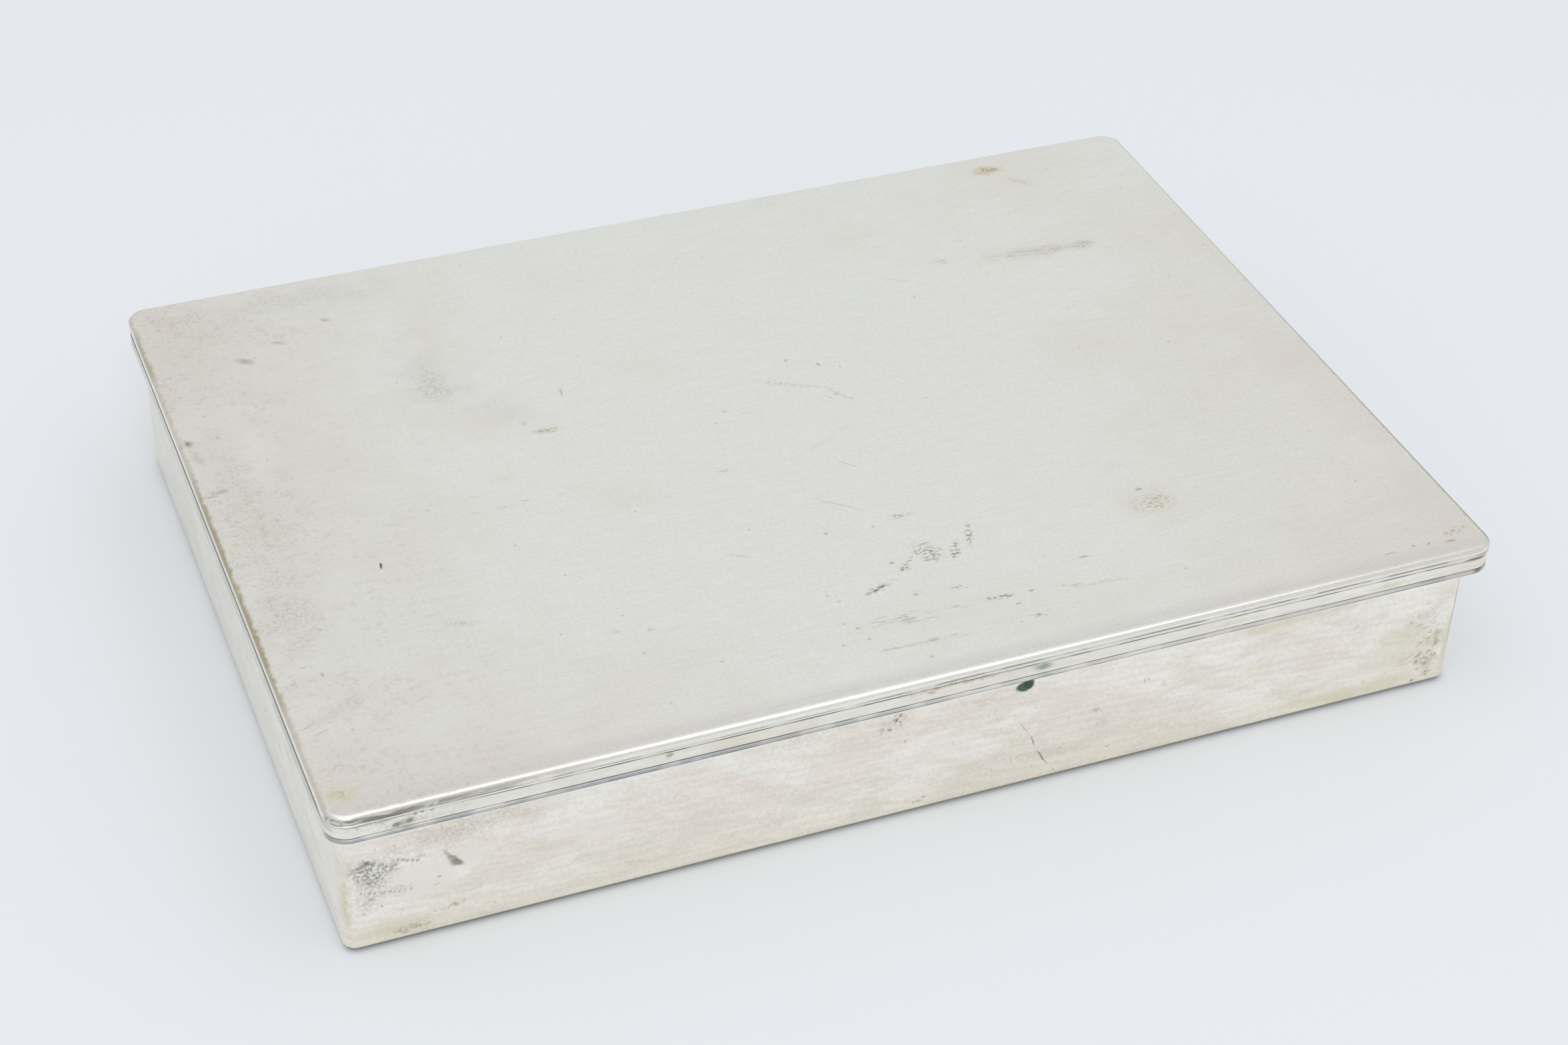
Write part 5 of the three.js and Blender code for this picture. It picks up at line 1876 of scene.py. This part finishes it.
@dataclass
class Lid:
    """Top plate with its rolled edge, over the edge moulding."""

    plate: Span = packed("lid_top")
    rim: Span = packed("lid_rim")
    tray: Span = packed("body_shell")
    bearer: Span = packed("hinge_bearer")
    corner: float = 3.5
    corner_steps: int = 10
    plate_step: float = 1.8
    plate_sheet: float = 0.9
    plate_round: float = 0.9
    roll_start: float = 86.0  # angle in degrees where the rolled edge leaves the flat plate
    roll_steps: int = 12
    flat_insets: tuple[float, ...] = (3.0, 2.5, 2.0, 1.6, 1.25)  # rings on the flat, next to the roll
    plate_border: float = 2.4
    foot_round: float = 0.1
    border_round: float = 0.15
    hollow_round: float = 0.3
    small_steps: int = 3
    hollow_steps: int = 4
    edge_fall: float = 0.11
    fall_width: float = 4.2
    sag: float = 0.16
    sag_pitch: float = 62.0
    sag_seed: int = 21
    edge_calm: Pair = (1.2, 14.0)  # distances from the edge between which the sag grows
    plate_crisp: float = 30.0
    underside: float = -0.5  # faces that point down more than this have the inner finish
    rim_sheet: float = 0.8
    rim_recess: float = 0.16
    rim_round: float = 0.1
    rim_crisp: float = 32.0
    bead_height: float = 0.8
    bead_proud: float = 0.12
    bead_turn: float = 80.0
    bead_steps: int = 12
    crease: float = 0.16
    crease_lip: float = 0.1
    flange_inside: float = 0.6
    mouth_inset: float = 2.4
    side_steps: int = 60
    wave_depth: float = 0.05
    wave_pitch: float = 19.0
    wave_seed: int = 31
    wave_from: float = 12.0  # distance from the ends where the waves are full
    wave_margin: float = 0.05
    notch_gap: float = 0.04
    notch_rise: float = 0.32

    def build(self) -> None:
        """Builds and fits the plate and the moulding."""
        outside = LidPlateFinish(self.plate, self.plate_round).make()
        inside = InnerPlateFinish().make()
        plate = self.make_plate()
        dress(plate, outside, inside)
        for face in plate.data.polygons:
            face.material_index = int(face.normal.z < self.underside)
        fit(plate, "lid", "silver_plate", "lid_top")
        bead_top = self.rim.low[2] + self.bead_height
        heights = (self.rim.low[2], bead_top, self.rim.high[2])
        edge = EdgeFinish(*self.rim.low[:2], heights).make()
        moulding = self.make_moulding(edge)
        dress(moulding, edge)
        fit(moulding, "lid", "silver_edge", "lid_rim")

    def make_plate(self) -> bpy.types.Object:
        """Top sheet with its rolled edge and hollow underside.

        Returns:
            The new piece.
        """
        length, width, _ = self.plate.size
        low, high = self.plate.low[2], self.plate.high[2]
        plan = Outline(length, width, self.corner, self.plate.middle[0], self.plate_step, self.corner_steps)
        turn, foot, edge, hollow = self.plate_round, self.foot_round, self.border_round, self.hollow_round
        under = high - self.plate_sheet
        border = self.plate_border
        profile = [(inset, high) for inset in (self.corner, *self.flat_insets)]
        profile += arc((turn, high - turn), (-turn, turn), self.roll_start, 0.0, self.roll_steps)
        profile += arc((foot, low + foot), (-foot, -foot), 0.0, 90.0, self.small_steps)
        profile += arc((border - edge, low + edge), (edge, -edge), 90.0, 0.0, self.small_steps)
        profile += arc((border + hollow, under - hollow), (-hollow, hollow), 0.0, 90.0, self.hollow_steps)
        profile += [(self.corner, under)]
        skin = Skin()
        skin.loft(plan.rings(profile))
        skin.sheet(plan.grid(high))
        skin.sheet(plan.grid(under))
        x, y, z = skin.points.T
        inside = np.minimum(length / 2 - np.abs(x), width / 2 - np.abs(y))
        near = np.clip((self.fall_width - inside) / (self.fall_width - turn), 0.0, 1.0)
        skin.points[:, 2] -= self.edge_fall * near**2 * np.clip((z - low) / (high - low), 0.0, 1.0)
        dip = ease(inside, *self.edge_calm) * self.sag * ripple(x, y, self.sag_pitch, self.sag_seed)
        skin.points[:, 2] -= np.where(inside > border, dip, 0.0)
        return skin.piece("lid_plate", self.plate_crisp)

    def section(self) -> tuple[np.ndarray, list[float]]:
        """Section of the moulding, outwards and down, and which of its points lie at the lid's mouth.

        Returns:
            The section's points, and 1 for each point at the mouth and 0 elsewhere.
        """
        low, high = self.rim.low[2], self.rim.high[2]
        recess, top, lip, hollow = self.rim_recess, self.rim_round, self.crease_lip, self.hollow_round
        half = (self.bead_height - self.crease) / 2
        bead_top = low + self.bead_height
        flange = low + self.rim_sheet
        inner = recess + self.rim_sheet
        bead = (-self.bead_proud, half)
        points = arc((recess, low + half), bead, -self.bead_turn, self.bead_turn, self.bead_steps)
        points += [(recess + self.crease, bead_top - lip / 2), (recess + lip / 5, bead_top + lip)]
        points += [(recess, bead_top + 2 * lip), (recess, high - top), (recess + top, high), (inner, high)]
        points += arc((inner + hollow, flange + hollow), (-hollow, -hollow), 0.0, 90.0, self.hollow_steps)
        mouth = [0.0] * len(points) + [1.0, 1.0]
        points += [(self.mouth_inset, flange), (self.mouth_inset, low)]
        return np.array([(-inset, -height, 0.0) for inset, height in points]), mouth

    def make_moulding(self, finish: bpy.types.Material) -> bpy.types.Object:
        """Edge moulding: a section swept round the lid, drawn to the tray's mouth and notched for the hinge.

        Args:
            finish: Its material.

        Returns:
            The new piece.
        """
        section, mouth = self.section()
        piece = wire("lid_moulding", section, True)
        piece.data.attributes.new("mouth", "FLOAT", "POINT").data.foreach_set("value", mouth)
        recipe = Recipe("lid_moulding")
        length, width, _ = self.plate.size
        feeds = {"Width": recipe.size("Length", length), "Height": recipe.size("Width", width)}
        sides = recipe.result("GeometryNodeCurvePrimitiveQuadrilateral", feeds)
        steps = recipe.count("Corner steps", self.corner_steps)
        feeds = {"Curve": sides, "Count": steps, "Radius": recipe.size("Corner", self.corner)}
        plan = recipe.result("GeometryNodeFilletCurve", feeds, mode="POLY")
        index = recipe.result("GeometryNodeInputIndex", {})
        each = recipe.math("ADD", steps, 1.0)
        last = recipe.math("COMPARE", recipe.math("MODULO", index, each), steps)
        cuts = recipe.math("MULTIPLY", last, recipe.count("Side steps", self.side_steps))
        path = recipe.result("GeometryNodeSubdivideCurve", {"Curve": plan, "Cuts": cuts})
        profile = recipe.result("GeometryNodeMeshToCurve", {"Mesh": recipe.start})
        swept = recipe.result("GeometryNodeCurveToMesh", {"Curve": path, "Profile Curve": profile})
        mouth_size = self.tray.size - 2.0 * self.flange_inside
        growth = mouth_size / (self.plate.size - 2.0 * self.mouth_inset) - 1.0
        grow = (growth[0], growth[1], 0.0)
        here = recipe.result("GeometryNodeInputPosition", {})
        shift = recipe.vector(recipe.size("Mouth's shift", self.tray.middle[0] - self.plate.middle[0]))
        drawn = recipe.vectors("ADD", recipe.vectors("MULTIPLY", here, grow), shift)
        flag = recipe.result("GeometryNodeInputNamedAttribute", {"Name": "mouth"}, data_type="FLOAT")
        offset = recipe.result("ShaderNodeVectorMath", {0: drawn, "Scale": flag}, operation="SCALE")
        moved = recipe.result("GeometryNodeSetPosition", {"Geometry": swept, "Offset": offset})
        recipe.run(piece, moved, finish)
        settle(piece.data, self.rim_crisp)
        self.wave(piece.data)
        self.notch(piece)
        return piece

    def wave(self, mesh: bpy.types.Mesh) -> None:
        """Makes the moulding's outer face slightly uneven.

        Args:
            mesh: The moulding's mesh.
        """
        flat = np.zeros(len(mesh.vertices) * 3)
        mesh.vertices.foreach_get("co", flat)
        points = flat.reshape(-1, 3) / MM
        half_x, half_y = self.plate.size[0] / 2, self.plate.size[1] / 2
        x, y, _ = points.T
        edge_x, edge_y = half_x - np.abs(x), half_y - np.abs(y)
        band = self.rim_recess + self.crease + self.wave_margin
        long_side = (edge_y < band) & (edge_x > self.corner)
        short_side = (edge_x < band) & (edge_y > self.corner)
        uneven = self.wave_depth * ripple(x, y, self.wave_pitch, self.wave_seed)
        calm = (self.corner, self.wave_from)
        points[:, 1] -= np.where(long_side, np.sign(y) * uneven * ease(edge_x, *calm), 0.0)
        points[:, 0] -= np.where(short_side, np.sign(x) * uneven * ease(edge_y, *calm), 0.0)
        mesh.vertices.foreach_set("co", (points * MM).ravel())
        mesh.update()

    def notch(self, piece: bpy.types.Object) -> None:
        """Cuts the flange out along the hinge.

        Args:
            piece: The moulding.
        """
        past = 1.0
        band = self.plate.high[1] - self.rim_recess - self.rim_sheet
        front = self.tray.high[1] - self.flange_inside
        top = self.rim.low[2] + self.rim_sheet + self.notch_rise
        low = np.array([self.bearer.low[0], front - past, self.rim.low[2] - past])
        high = np.array([self.bearer.high[0], band - self.notch_gap, top])
        cut_away(piece, low, high)
        settle(piece.data, self.rim_crisp)


# The stage


@dataclass(frozen=True)
class Lamp:
    """Large soft lamp that points at the box."""

    name: str
    place: tuple[float, float, float]
    size: Pair
    watts: float

    def hang(self) -> None:
        """Puts the lamp in its place."""
        data = bpy.data.lights.new(self.name, "AREA")
        data.shape = "RECTANGLE"
        data.size, data.size_y = (side * MM for side in self.size)
        data.energy = self.watts
        lamp = link(self.name, data)
        lamp.location = Vector(self.place) * MM
        lamp.rotation_euler = Vector(self.place).to_track_quat("Z", "Y").to_euler()


@dataclass(frozen=True)
class Studio:
    """Pale floor, soft light from above and in front, and a camera at the photograph's angle."""

    azimuth: float = -22.54
    elevation: float = 37.22
    roll: float = 1.83
    aim: tuple[float, float, float] = (-2.3, -7.8, 14.4)
    distance: float = 488.9
    lens: float = 69.42
    sensor: float = 36.0
    clip: Pair = (0.01, 50.0)  # in metres
    floor_half: float = 3000.0
    floor_colour: Colour = (0.82, 0.852, 0.888)
    floor_roughness: float = 0.9
    floor_gloss: float = 0.1
    sky_colour: Colour = (1.0, 1.0, 1.0)
    sky_level: float = 0.735
    lamps: tuple[Lamp, ...] = (
        Lamp("lamp_above", (-40.0, -130.0, 800.0), (1000.0, 700.0), 1.25),
        Lamp("lamp_in_front", (-700.0, -3100.0, 2900.0), (1600.0, 900.0), 32.0),
    )

    def build(self) -> None:
        """Builds camera, floor, light and surroundings."""
        self.place_camera()
        self.lay_floor()
        for lamp in self.lamps:
            lamp.hang()
        self.paint_world()
        bpy.context.scene.view_settings.view_transform = "Standard"

    def place_camera(self) -> None:
        """Sets the camera on its ray from the aim, with its roll."""
        turn, rise, roll = (math.radians(a) for a in (self.azimuth, self.elevation, self.roll))
        back = Vector(
            (math.sin(turn) * math.cos(rise), -math.cos(turn) * math.cos(rise), math.sin(rise))
        )
        level = UPRIGHT.cross(back).normalized()
        steep = back.cross(level)
        right = math.cos(roll) * level + math.sin(roll) * steep
        over = back.cross(right)
        data = bpy.data.cameras.new("camera")
        data.lens, data.sensor_width = self.lens, self.sensor
        data.clip_start, data.clip_end = self.clip
        camera = link("camera", data)
        place = Matrix((right, over, back)).transposed().to_4x4()
        place.translation = (Vector(self.aim) + self.distance * back) * MM
        camera.matrix_world = place
        bpy.context.scene.camera = camera

    def lay_floor(self) -> None:
        """Makes the plain floor."""
        half = self.floor_half * MM
        corners = [(x * half, y * half, 0.0) for x, y in ((-1, -1), (1, -1), (1, 1), (-1, 1))]
        mesh = bpy.data.meshes.new("floor")
        mesh.from_pydata(corners, [], [(0, 1, 2, 3)])
        floor = link("floor", mesh)
        paint = Graph("floor_paint").surface(
            Base_Color=self.floor_colour, Roughness=self.floor_roughness, Specular_IOR_Level=self.floor_gloss
        )
        dress(floor, paint)

    def paint_world(self) -> None:
        """Makes plain pale surroundings."""
        world = bpy.data.worlds.new("studio")
        bpy.context.scene.world = world
        world.use_nodes = True
        world.node_tree.nodes.clear()
        sky = NodeTree(world.node_tree)
        light = sky.result("ShaderNodeBackground", {"Color": self.sky_colour, "Strength": self.sky_level})
        sky.node("ShaderNodeOutputWorld", {"Surface": light})


def write_sizes() -> None:
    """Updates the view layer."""
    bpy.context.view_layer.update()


def main() -> None:
    """Builds the stage and the box."""
    logging.basicConfig(level=logging.INFO, format="%(name)s: %(message)s")
    Studio().build()
    Tray().build()
    Lining().build()
    Hinge().build()
    Lid().build()
    write_sizes()


if __name__ == "__main__":
    main()
